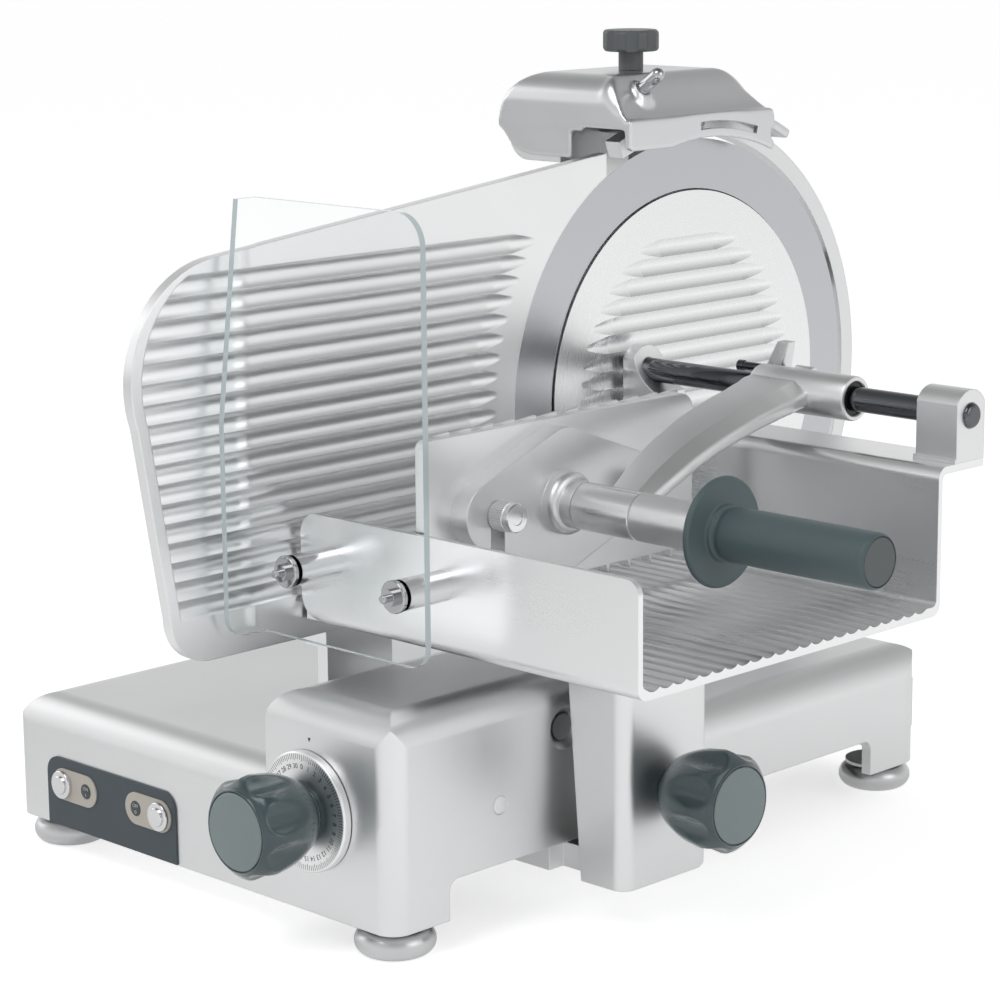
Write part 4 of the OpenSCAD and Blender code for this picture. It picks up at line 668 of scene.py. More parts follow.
class Finishes:
    """Makes each finish once and hands it out."""

    def __init__(self) -> None:
        """Builds the shared effects."""
        self.effects = Effects()
        self.made: dict[Kind, bpy.types.Material] = {}

    def get(self, kind: Kind) -> bpy.types.Material:
        """A finish's material.

        Args:
            kind: Which finish.

        Returns:
            The material.
        """
        if kind not in self.made:
            self.made[kind] = kind.value.make(self.effects)
        return self.made[kind]


# Shapes, in millimetres


class Shape:
    """A mesh in the making, measured as the solids are."""

    def __init__(self) -> None:
        """Starts empty."""
        self.mesh = bmesh.new()

    def loop(self, points: Iterable[Vector]) -> list[bmesh.types.BMVert]:
        """A row of points.

        Args:
            points: Where they are.

        Returns:
            The vertices.
        """
        return [self.mesh.verts.new(point) for point in points]

    def face(self, verts: Sequence[bmesh.types.BMVert]) -> None:
        """A face over some vertices.

        Args:
            verts: The vertices in order.
        """
        self.mesh.faces.new(verts)

    def skin(self, loops: Sequence[list[bmesh.types.BMVert]]) -> None:
        """Faces between each loop and the next.

        Args:
            loops: Loops of equal length, each running back to its start.
        """
        for low, high in zip(loops, loops[1:]):
            count = len(low)
            for i in range(count):
                j = (i + 1) % count
                self.face((low[i], low[j], high[j], high[i]))

    def solid(self, loops: Sequence[list[bmesh.types.BMVert]]) -> Shape:
        """Faces between each loop and the next, and over the first and the last one.

        Args:
            loops: Loops of equal length.

        Returns:
            This shape.
        """
        self.skin(loops)
        self.face(loops[0])
        self.face(loops[-1])
        return self

    def fan(self, loop: list[bmesh.types.BMVert], tip: Vector) -> None:
        """Closes a loop over a tip.

        Args:
            loop: The loop.
            tip: The point that its faces meet at.
        """
        end = self.mesh.verts.new(tip)
        for i, vert in enumerate(loop):
            self.face((vert, loop[(i + 1) % len(loop)], end))

    def turn(
        self,
        axis: Axis,
        place: Vector,
        profile: Sequence[Point],
        steps: int = 96,
        squeeze: Callable[[float, float], float] | None = None,
    ) -> Shape:
        """Turns a profile round an axis.

        Args:
            axis: The way that the profile grows.
            place: Where its length starts.
            profile: Pairs of radius and length.
            steps: Points round the axis.
            squeeze: Gives the radius at an angle from that angle and the profile's radius.

        Returns:
            This shape.
        """
        along, first, second = axis.vectors()
        loops = []
        for radius, length in profile:
            middle = place + along * length
            if radius <= 0:
                loops.append(middle)
                continue
            row = []
            for i in range(steps):
                angle = math.tau * i / steps
                reach = squeeze(angle, radius) if squeeze else radius
                row.append(middle + (first * math.cos(angle) + second * math.sin(angle)) * reach)
            loops.append(self.loop(row))
        for low, high in zip(loops, loops[1:]):
            if isinstance(low, list) and isinstance(high, list):
                self.skin((low, high))
            elif isinstance(low, list):
                self.fan(low, high)
            elif isinstance(high, list):
                self.fan(high, low)
        return self

    def draw(self, outline: Sequence[Point], start: float, end: float) -> Shape:
        """Draws an outline on the front out into a slab.

        Args:
            outline: Its corners as (x, z).
            start: How far the slab's back lies in front of the blade's axis.
            end: How far its face does.

        Returns:
            This shape.
        """
        return self.solid([self.loop(Vector((x, -depth, z)) for x, z in outline) for depth in (start, end)])


def rounded(corners: Sequence[tuple[float, float, float]], steps: int) -> list[Point]:
    """An outline with round corners.

    Args:
        corners: The corners in order, each with its radius.
        steps: Points on each round corner.

    Returns:
        The outline's points.
    """
    points = []
    count = len(corners)
    for i, (x, y, radius) in enumerate(corners):
        here = Vector((x, y))
        back = (Vector(corners[i - 1][:2]) - here).normalized()
        on = (Vector(corners[(i + 1) % count][:2]) - here).normalized()
        half = back.angle(on) / 2
        middle = here + (back + on).normalized() * (radius / math.sin(half))
        start = here + back * (radius / math.tan(half)) - middle
        sweep = start.angle_signed(here + on * (radius / math.tan(half)) - middle)
        for k in range(steps + 1):
            turn = -sweep * k / steps
            c, s = math.cos(turn), math.sin(turn)
            points.append((middle.x + start.x * c - start.y * s, middle.y + start.x * s + start.y * c))
    return points


def moved(radius: float, length: float, offsets: Sequence[Point]) -> list[Point]:
    """Points of a profile, given by how far they lie from one of its corners.

    Args:
        radius: The corner's radius.
        length: The corner's place along the axis.
        offsets: Pairs of change in radius and in length.

    Returns:
        The points as pairs of radius and length.
    """
    return [(radius + out, length + on) for out, on in offsets]


def eased(points: Sequence[Point], steps: int = 6) -> list[Point]:
    """A smooth curve through some points.

    Args:
        points: The points.
        steps: Points on each stretch.

    Returns:
        The curve's points.
    """
    out = []
    ends = [points[0], *points, points[-1]]
    for a, b, c, d in zip(ends, ends[1:], ends[2:], ends[3:]):
        for k in range(steps):
            t = k / steps
            out.append(tuple(
                0.5 * (
                    2 * q + (r - p) * t
                    + (2 * p - 5 * q + 4 * r - s) * t * t
                    + (3 * q - p - 3 * r + s) * t * t * t
                )
                for p, q, r, s in zip(a, b, c, d)
            ))
    out.append(tuple(points[-1]))
    return out


class Workshop:
    """Makes shapes into pieces that ride on the frame."""

    def __init__(self, finishes: Finishes) -> None:
        """Keeps the finishes.

        Args:
            finishes: Where the materials come from.
        """
        self.finishes = finishes

    def settle(
        self, thing: bpy.types.Object, kind: Kind, body: str, replaces: Sequence[str] = ()
    ) -> bpy.types.Object:
        """Gives a piece its finish and its place in the frame.

        Args:
            thing: The piece.
            kind: Its finish.
            body: The body that it rides on.
            replaces: The solids that it stands for.

        Returns:
            The piece.
        """
        thing.data.materials.clear()
        thing.data.materials.append(self.finishes.get(kind))
        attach(thing, body)
        if replaces:
            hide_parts(*replaces)
        LOG.info("%s on %s", thing.name, body)
        return thing

    def form(self, name: str, shape: Shape) -> bpy.types.Object:
        """Makes a shape into an object without finish or place.

        Args:
            name: The object's name.
            shape: Its shape in millimetres.

        Returns:
            The object.
        """
        bmesh.ops.recalc_face_normals(shape.mesh, faces=shape.mesh.faces)
        mesh = bpy.data.meshes.new(name)
        shape.mesh.to_mesh(mesh)
        shape.mesh.free()
        mesh.transform(Matrix.Scale(MM, 4) @ Matrix.Translation(ORIGIN))
        return linked(name, mesh)

    def piece(
        self,
        name: str,
        shape: Shape,
        kind: Kind,
        body: str,
        replaces: Sequence[str] = (),
        bevel: float = 0.0,
        crease: float = 35.0,
    ) -> bpy.types.Object:
        """Makes a shape into a piece.

        Args:
            name: The piece's name.
            shape: Its shape in millimetres.
            kind: Its finish.
            body: The body that it rides on.
            replaces: The solids that it stands for.
            bevel: Width of the rounding along its edges.
            crease: Edges sharper than this stay sharp, in degrees.

        Returns:
            The piece.
        """
        thing = self.form(name, shape)
        mesh = thing.data
        mesh.shade_smooth()
        if bevel:
            edge = thing.modifiers.new("edges", "BEVEL")
            edge.width = bevel * MM
            edge.segments = 3
            edge.limit_method = "ANGLE"
            edge.angle_limit = math.radians(crease)
            edge.harden_normals = True
        else:
            mesh.set_sharp_from_angle(angle=math.radians(crease))
        return self.settle(thing, kind, body, replaces)

    def write(
        self,
        name: str,
        text: str,
        place: Vector,
        turn: float,
        size: float,
        body: str,
        kind: Kind,
        proud: float = 0.06,
    ) -> None:
        """Prints a word or a number on a front face.

        Args:
            name: The piece's name.
            text: What it says.
            place: Its middle, in millimetres.
            turn: Its turn on the face, in radians.
            size: Its height in millimetres.
            body: The body that it rides on.
            kind: Its finish.
            proud: How far it stands off the face, in millimetres.
        """
        curve = bpy.data.curves.new(name, "FONT")
        curve.body = text
        curve.size = size * MM
        curve.align_x = "CENTER"
        curve.align_y = "CENTER"
        curve.extrude = proud * MM
        maker = linked(f"{name}_maker", curve)
        mesh = evaluated(maker)
        bpy.data.objects.remove(maker)
        mesh.name = name
        upright = Matrix.Rotation(math.pi / 2, 4, "X") @ Matrix.Rotation(turn, 4, "Z")
        mesh.transform(Matrix.Translation(spot(*place)) @ upright)
        self.settle(linked(name, mesh), kind, body)


# Sub-assemblies


@dataclass
class LobedKnob:
    """A big hand knob: eight lobes round a cap, on a neck."""

    name: str
    body: str
    node: str
    axis: Axis
    place: tuple[float, float, float]
    neck_radius: float
    neck_length: float
    radius: float = 33.0
    length: float = 50.0
    lobes: int = 8
    scoop: float = 17.0
    scoop_in: float = 4.6
    blend: float = 1.4
    cap_share: float = 0.735
    groove: float = 0.75
    groove_depth: float = 1.5
    rim_width: float = 0.6
    chamfer: float = 0.6
    overlap: float = 1.0
    steps: int = 192
    cap_foot: float = 1.2
    cap_edge: tuple[Point, ...] = ((0.0, 0.3), (-0.5, 0.8))
    cap_dome: tuple[Point, ...] = ((0.7, 1.3), (0.35, 1.6), (0.0, 1.7))
    flank: tuple[Point, ...] = (
        (0.60, 0.0), (0.74, 0.10), (0.90, 0.36), (0.99, 0.66), (1.0, 0.78), (0.955, 0.88), (0.86, 0.955),
        (0.80, 0.985),
    )

    def squeeze(self, angle: float, radius: float) -> float:
        """The lobed radius at an angle.

        Args:
            angle: Radians round the axis.
            radius: The round radius there.

        Returns:
            The radius with its scoops.
        """
        pitch = math.tau / self.lobes
        off = (angle % pitch) - pitch / 2
        far = self.radius + self.scoop - self.scoop_in
        under = self.scoop**2 - (far * math.sin(off)) ** 2
        reach = far * math.cos(off) - math.sqrt(under) if under > 0 else self.radius * 2
        gap = max(self.blend - abs(radius - reach), 0.0)
        return min(radius, reach) - gap * gap / (4 * self.blend)

    def build(self, shop: Workshop) -> None:
        """Adds the knob, its cap and its neck.

        Args:
            shop: Where pieces are made.
        """
        place = Vector(self.place)
        along = self.axis.vectors()[0]
        flank = [(r * self.radius, t * self.length) for r, t in eased(self.flank)]
        ring = self.cap_share * self.radius + self.groove
        front = self.length
        sunk = front - self.groove_depth
        rim = [(flank[-1][0] - self.rim_width, front), (ring, front), (ring, sunk), (0.0, sunk)]
        outline = [(0.0, 0.0), *flank, *rim]
        shape = Shape().turn(self.axis, place, outline, steps=self.steps, squeeze=self.squeeze)
        shop.piece(self.name, shape, Kind.KNOB, self.body, (self.node,))
        cap = self.cap_share * self.radius
        dome = [
            (0.0, -self.cap_foot), (cap, -self.cap_foot), *moved(cap, 0.0, self.cap_edge),
            *((cap * share, height) for share, height in self.cap_dome),
        ]
        shape = Shape().turn(self.axis, place + along * front, dome)
        shop.piece(f"{self.name}_cap", shape, Kind.CAP, self.body)
        top = self.neck_length + self.overlap
        neck = [
            (0.0, 0.0), (self.neck_radius - self.chamfer, 0.0), (self.neck_radius, self.chamfer),
            (self.neck_radius, top), (0.0, top),
        ]
        start = place - along * self.neck_length
        shop.piece(f"{self.name}_neck", Shape().turn(self.axis, start, neck), Kind.KNOB, self.body)


@dataclass
class Dial:
    """The numbered disc's marks and the index over it."""

    middle: tuple[float, float] = (63.2, 86.5)
    face: float = 430.0
    outer: float = 37.0
    inner: float = 33.6
    numbers: int = 31
    per_number: int = 4
    number_radius: float = 29.2
    number_size: float = 4.6
    tick_width: float = 0.32
    tick_more: float = 0.9
    sunk: float = 0.4
    proud: float = 0.06
    index: tuple[float, float] = (64.0, 130.5)
    index_size: float = 2.6
    index_share: float = 0.45
    index_depth: tuple[float, float] = (-0.2, 0.15)
    base_face: float = 424.0

    def build(self, shop: Workshop) -> None:
        """Adds the ticks, the numbers and the index.

        Args:
            shop: Where pieces are made.
        """
        shape = Shape()
        count = self.numbers * self.per_number
        for i in range(count):
            angle = math.tau * i / count
            out = Vector((math.sin(angle), 0, math.cos(angle)))
            side = Vector((math.cos(angle), 0, -math.sin(angle))) * (self.tick_width / 2)
            near = self.inner + (0 if i % self.per_number else -self.tick_more)
            start, end = out * near, out * self.outer
            corners = [start - side, end - side, end + side, start + side]
            middle = Vector((self.middle[0], 0, self.middle[1]))
            shape.solid([
                shape.loop(middle + corner + Vector((0, -depth, 0)) for corner in corners)
                for depth in (self.face - self.sunk, self.face + self.proud)
            ])
        shop.piece("dial_ticks", shape, Kind.INK, "dial")
        for i in range(self.numbers):
            angle = math.tau * i / self.numbers
            out = Vector((math.sin(angle), 0, math.cos(angle)))
            place = Vector((self.middle[0], -self.face, self.middle[1])) + out * self.number_radius
            shop.write(f"dial_number_{i:02d}", str(i), place, -angle, self.number_size, "dial", Kind.INK)
        x, z = self.index
        size = self.index_size
        half = size * self.index_share
        arrow = [(x - half, z + size), (x + half, z + size), (x, z)]
        back, front = (self.base_face + depth for depth in self.index_depth)
        shop.piece("dial_index", Shape().draw(arrow, back, front), Kind.INK, "base")


@dataclass
class PressArm:
    """The sleeve on the rod, the curved arm, the hub it ends in and the latch's boss."""

    rod: tuple[float, float] = (-57.5, 313.0)
    sleeve: tuple[float, float] = (116.5, 197.5)
    sleeve_radius: float = 15.0
    bore: float = 11.4
    handle: tuple[float, float] = (-259.0, 264.5)
    hub: tuple[float, float] = (143.3, 191.5)
    hub_radius: float = 15.2
    hub_bore: float = 5.2
    latch: tuple[float, float] = (-40.0, 321.0)
    boss: tuple[float, float] = (133.0, 148.0)
    boss_radius: float = 5.6
    boss_bore: float = 3.3
    thick: tuple[float, float] = (14.0, 17.0)
    sag: float = 10.0
    steps: int = 48
    hub_seat: tuple[float, float] = (3.0, 1.5)
    sleeve_seat: float = 0.6
    softness: float = 0.3
    crown: float = 0.4
    fall: float = 6.5
    taper: tuple[float, float] = (2.5, 1.5)
    rounding: tuple[float, float, float] = (1.6, 1.0, 4.0)
    round_steps: int = 6
    crease: float = 24.0
    sleeve_edge: tuple[Point, ...] = ((-1.5, 0.0), (-0.4, 0.4), (0.0, 1.5))
    sleeve_lead: tuple[float, float] = (0.8, 1.0)
    hub_chamfer: float = 0.5
    boss_chamfer: float = 0.8
    boss_steps: int = 48
    edges: tuple[tuple[float, float, float, float], ...] = (
        (0.00, 161.5, 183.5, 190.5), (0.17, 152.3, 177.6, 188.4), (0.31, 146.5, 174.0, 186.0),
        (0.52, 139.0, 171.0, 183.4), (0.74, 132.5, 165.6, 178.8), (0.85, 126.4, 162.6, 175.6),
        (0.94, 119.0, 158.0, 170.4), (1.00, 117.4, 154.0, 168.0),
    )

    def path(self, share: float) -> tuple[Vector, Vector]:
        """The arm's top line, from the hub to the sleeve.

        Args:
            share: 0 at the hub and 1 at the sleeve.

        Returns:
            The point as (y, z) in a vector without x, and the way up across the arm there.
        """
        on, under = self.hub_seat
        start = Vector((0.0, self.handle[0] + on, self.handle[1] + self.hub_radius - under))
        seat = self.sleeve_radius * self.sleeve_seat
        end = Vector((0.0, self.rod[0] - seat, self.rod[1] + seat))
        run = (end - start).normalized()
        up = Vector((0.0, -run.z, run.y))
        bow = 4 * self.sag * share * (1 - share)
        slope = 4 * self.sag * (1 - 2 * share) / (end - start).length
        return start.lerp(end, share) + up * bow, (up - run * slope).normalized()

    def sides(self, share: float) -> tuple[float, float, float]:
        """The arm's left edge, the ridge of its flat top and its right edge.

        Args:
            share: 0 at the hub and 1 at the sleeve.

        Returns:
            The x of each.
        """
        for low, high in zip(self.edges, self.edges[1:]):
            if share <= high[0]:
                part = (share - low[0]) / (high[0] - low[0])
                soft = part * part * (3 - 2 * part) * self.softness + part * (1 - self.softness)
                return tuple(a + (b - a) * soft for a, b in zip(low[1:], high[1:]))
        return self.edges[-1][1:]

    def arm(self) -> Shape:
        """The curved arm: a flat top facet, and a round right side below its ridge.

        Returns:
            Its shape.
        """
        shape = Shape()
        loops = []
        small, sharp, large = self.rounding
        for i in range(self.steps + 1):
            share = i / self.steps
            top, up = self.path(share)
            left, ridge, right = self.sides(share)
            deep = self.thick[0] + (self.thick[1] - self.thick[0]) * share
            corners = (
                (left, self.crown, small), (ridge, 0.0, sharp), (right, -self.fall, large),
                (right - self.taper[1], -deep, large), (left + self.taper[0], -deep, large),
            )
            outline = rounded(corners, self.round_steps)
            loops.append(shape.loop(Vector((x, 0, 0)) + top + up * h for x, h in outline))
        return shape.solid(loops)

    def bushing(self, span: Point, radius: float, bore: float, chamfer: float) -> list[Point]:
        """The profile of a short tube with chamfered ends.

        Args:
            span: Where it starts and ends.
            radius: Its outer radius.
            bore: Its inner radius.
            chamfer: Size of the chamfers.

        Returns:
            The profile as pairs of radius and length.
        """
        length = span[1] - span[0]
        return [
            (bore, 0.0), (radius - chamfer, 0.0), (radius, chamfer), (radius, length - chamfer),
            (radius - chamfer, length), (bore, length), (bore, 0.0),
        ]

    def build(self, shop: Workshop) -> None:
        """Adds the sleeve, the arm, the hub and the latch's boss.

        Args:
            shop: Where pieces are made.
        """
        x0, x1 = self.sleeve
        run = x1 - x0
        r = self.sleeve_radius
        lead, depth = self.sleeve_lead
        near = moved(r, 0.0, self.sleeve_edge)
        far = [(radius, run - length) for radius, length in reversed(near)]
        wall = [
            (self.bore, depth), (self.bore + lead, 0.0), *near, *far, (self.bore + lead, run),
            (self.bore, run - depth), (self.bore, depth),
        ]
        sleeve = Shape().turn(Axis.RIGHT, Vector((x0, *self.rod)), wall)
        shop.piece("press_sleeve", sleeve, Kind.CASTING, "press", ("press_arm",))
        shop.piece("press_arm_bow", self.arm(), Kind.CASTING, "press", crease=self.crease)
        profile = self.bushing(self.hub, self.hub_radius, self.hub_bore, self.hub_chamfer)
        hub = Shape().turn(Axis.RIGHT, Vector((self.hub[0], *self.handle)), profile)
        shop.piece("press_hub", hub, Kind.SATIN, "press")
        profile = self.bushing(self.boss, self.boss_radius, self.boss_bore, self.boss_chamfer)
        place = Vector((self.boss[0], *self.latch))
        boss = Shape().turn(Axis.RIGHT, place, profile, steps=self.boss_steps)
        shop.piece("latch_boss", boss, Kind.CASTING, "press")


@dataclass
class Latch:
    """The sliding latch pin and the finger tab that moves it."""

    axis: tuple[float, float] = (-40.0, 321.0)
    span: tuple[float, float] = (82.5, 153.0)
    radius: float = 3.2
    head_radius: float = 4.0
    head_length: float = 5.0
    foot: tuple[float, float, float] = (109.5, 122.5, 323.0)
    tip: tuple[float, float, float] = (120.0, 130.0, 342.0)
    foot_depth: tuple[float, float] = (-45.0, -32.0)
    tip_depth: tuple[float, float] = (-45.0, -37.0)
    rounding: tuple[float, float] = (0.9, 1.4)
    round_steps: int = 5
    bevel: float = 0.5
    rows: int = 10
    steps: int = 48
    point: float = 0.6
    dish: tuple[float, float] = (1.8, 1.4)
    chamfer: float = 0.5

    def tab(self) -> Shape:
        """The finger tab: thick at its foot, leaning right, with a rounded crest.

        Returns:
            Its shape.
        """
        shape = Shape()
        loops = []
        for i in range(self.rows + 1):
            share = i / self.rows
            left, right, z = (a + (b - a) * share for a, b in zip(self.foot, self.tip))
            front, back = (a + (b - a) * share for a, b in zip(self.foot_depth, self.tip_depth))
            near, far = self.rounding
            corners = ((left, front, near), (right, front, near), (right, back, far), (left, back, far))
            loops.append(shape.loop(Vector((x, y, z)) for x, y in rounded(corners, self.round_steps)))
        return shape.solid(loops)

    def build(self, shop: Workshop) -> None:
        """Adds the pin and its tab.

        Args:
            shop: Where pieces are made.
        """
        run = self.span[1] - self.span[0]
        r, head = self.radius, self.head_radius
        tip, edge, end = self.point, self.chamfer, self.head_length
        profile = [
            (0.0, tip), (head - self.dish[0], tip), (head - self.dish[1], 0.0), (head - edge, 0.0),
            (head, edge), (head, end - edge), (head - edge, end), (r, end), (r, run - tip), (r - tip, run),
            (0.0, run),
        ]
        pin = Shape().turn(Axis.RIGHT, Vector((self.span[0], *self.axis)), profile, steps=self.steps)
        # The pin is polished chrome with a painted dark reflection in its base colour.
        shop.piece("latch_rod", pin, Kind.CHROME_PAINTED_DARK_REFLECTION, "latch", ("latch_pin",))
        shop.piece("latch_tab", self.tab(), Kind.CASTING, "latch", bevel=self.bevel)


@dataclass
class Handle:
    """The tube, the hand guard disc and the grip with its end cap."""

    axis: tuple[float, float] = (-259.0, 264.5)
    tube: tuple[float, float] = (191.8, 252.5)
    tube_radius: float = 15.2
    disc_radius: float = 34.25
    disc_thick: float = 4.5
    collar_radius: float = 17.4
    neck_radius: float = 15.4
    root_length: float = 8.5
    grip_radius: float = 17.0
    end: float = 374.0
    bore: float = 5.2
    cap_radius: float = 14.6
    tube_chamfer: float = 0.5
    disc_round: float = 2.2
    disc_steps: int = 12
    crease: float = 50.0
    cap_rim: float = 0.5
    cap_depth: float = 1.6
    cap_foot: float = 1.4
    cap_chamfer: float = 0.4
    collar_bend: tuple[Point, ...] = ((1.5, 0.0), (0.4, 0.4), (0.0, 1.2), (0.0, 2.6), (-0.3, 3.1))
    neck_bend: tuple[Point, ...] = ((0.6, 3.5), (0.0, 4.4), (0.0, 5.4), (0.5, 6.6))
    root_bend: tuple[Point, ...] = ((-0.4, -0.6), (-0.1, 0.4), (0.0, 2.0))
    end_bend: tuple[Point, ...] = ((0.0, -4.0), (-0.25, -2.2), (-0.8, -0.9), (-1.6, -0.2))

    def build(self, shop: Workshop) -> None:
        """Adds the pieces of the handle.

        Args:
            shop: Where pieces are made.
        """
        x0, x1 = self.tube
        place = Vector((x0, *self.axis))
        r, run = self.tube_radius, x1 - x0
        edge = self.tube_chamfer
        tube = [(self.bore, 0.0), (r - edge, 0.0), (r, edge), (r, run), (self.bore, run), (self.bore, 0.0)]
        shape = Shape().turn(Axis.RIGHT, place, tube)
        shop.piece("handle_tube", shape, Kind.CASTING, "press", ("press_grip",))
        d, t = self.disc_radius, self.disc_thick
        grip = self.grip_radius
        turns = [math.pi * k / self.disc_steps for k in range(self.disc_steps + 1)]
        rim = [(d - self.disc_round * (1 - math.sin(a)), t / 2 - (t / 2) * math.cos(a)) for a in turns]
        long = self.end - x1
        root = [
            *moved(self.collar_radius, t, self.collar_bend), *moved(self.neck_radius, t, self.neck_bend),
            *moved(grip, t + self.root_length, self.root_bend),
        ]
        c, rim_radius, floor = self.cap_radius, self.cap_radius + self.cap_rim, long - self.cap_depth
        front = [*moved(grip, long, self.end_bend), (rim_radius, long), (rim_radius, floor), (0.0, floor)]
        shape = Shape().turn(Axis.RIGHT, Vector((x1, *self.axis)), [(0.0, 0.0), *rim, *root, *front])
        shop.piece("hand_grip", shape, Kind.GRIP, "press", crease=self.crease)
        foot, edge = -self.cap_foot, self.cap_chamfer
        cap = [(0.0, foot), (c, foot), (c, -edge), (c - edge, 0.0), (0.0, 0.0)]
        shape = Shape().turn(Axis.RIGHT, Vector((self.end, *self.axis)), cap)
        shop.piece("grip_cap", shape, Kind.GRIP_CAP, "press")


@dataclass
class Knurled:
    """The two knurled nuts, on their shanks, that hold the diamond bracket to the toothed plate."""

    places: tuple[Point, ...] = ((-317.9, 265.5), (-196.1, 265.5))
    start: float = 102.0
    shank: float = 22.0
    shank_radius: float = 5.3
    radius: float = 9.5
    length: float = 17.0
    teeth: int = 44
    tooth_steps: int = 4
    cut: float = 0.45
    uncut: float = 0.2
    foot: tuple[Point, ...] = ((-1.0, 0.0), (0.0, 0.8))
    groove: tuple[Point, ...] = ((0.0, -5.6), (-0.9, -5.2), (-0.9, -4.6), (-0.3, -4.2))
    head: tuple[Point, ...] = ((-0.3, -0.9), (-1.1, 0.0), (-5.0, 0.0), (-5.4, -0.5))

    def squeeze(self, angle: float, radius: float) -> float:
        """The knurled radius at an angle.

        Args:
            angle: Radians round the axis.
            radius: The round radius there.

        Returns:
            The radius between two teeth.
        """
        if radius < self.radius - self.uncut:
            return radius
        return radius - self.cut * abs(math.sin(angle * self.teeth / 2))

    def build(self, shop: Workshop) -> None:
        """Adds both nuts.

        Args:
            shop: Where pieces are made.
        """
        shape = Shape()
        r, low = self.radius, self.shank
        end = low + self.length
        profile = [
            (0.0, 0.0), (self.shank_radius, 0.0), (self.shank_radius, low), *moved(r, low, self.foot),
            *moved(r, end, self.groove), *moved(r, end, self.head), (0.0, end + self.head[-1][1]),
        ]
        steps = self.teeth * self.tooth_steps
        for place in self.places:
            middle = Vector((self.start, *place))
            shape.turn(Axis.RIGHT, middle, profile, steps=steps, squeeze=self.squeeze)
        shop.piece("plate_nuts", shape, Kind.STEEL, "press", ("plate_knobs",))


@dataclass
class SwitchLabels:
    """The round dark labels beside the two buttons."""

    height: float = 50.8
    on_place: float = -161.5
    off_place: float = -108.0
    radius: float = 5.2
    text_size: float = 3.4
    ring: float = 2.2
    stroke: float = 0.45
    disc: tuple[Point, ...] = ((0.0, -0.2), (0.0, 0.16), (-0.2, 0.24))
    disc_steps: int = 64
    hoop_steps: int = 40
    print_height: float = 0.26
    word_up: float = 1.7
    sign_down: float = 2.4
    bar_half: float = 1.1
    sunk: float = 0.1
    proud: float = 0.05

    def build(self, shop: Workshop) -> None:
        """Adds each disc, its word and the switch sign under it.

        Args:
            shop: Where pieces are made.
        """
        face = -(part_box("pill_surrounds")[0][1] / MM - ORIGIN.y)
        for word, x in (("ON", self.on_place), ("OFF", self.off_place)):
            name = word.lower()
            r = self.radius
            profile = [(0.0, self.disc[0][1]), *moved(r, 0.0, self.disc), (0.0, self.disc[-1][1])]
            place = Vector((x, -face, self.height))
            disc = Shape().turn(Axis.FRONT, place, profile, steps=self.disc_steps)
            shop.piece(f"{name}_label", disc, Kind.PANEL, "base")
            place = Vector((x, -face - self.print_height, self.height))
            top = place + Vector((0, 0, self.word_up))
            shop.write(f"{name}_word", word, top, 0.0, self.text_size, "base", Kind.PALE, self.proud)
            sign = place + Vector((0, 0, -self.sign_down))
            low, high = -self.sunk, self.proud
            if word == "ON":
                half, tall = self.stroke / 2, self.bar_half
                bar = [
                    (sign.x - half, sign.z - tall), (sign.x + half, sign.z - tall),
                    (sign.x + half, sign.z + tall), (sign.x - half, sign.z + tall),
                ]
                shape = Shape().draw(bar, -sign.y + low, -sign.y + high)
            else:
                outer, inner = self.ring / 2, self.ring / 2 - self.stroke
                hoop = [(inner, low), (outer, low), (outer, high), (inner, high), (inner, low)]
                shape = Shape().turn(Axis.FRONT, sign, hoop, steps=self.hoop_steps)
            shop.piece(f"{name}_sign", shape, Kind.PALE, "base")


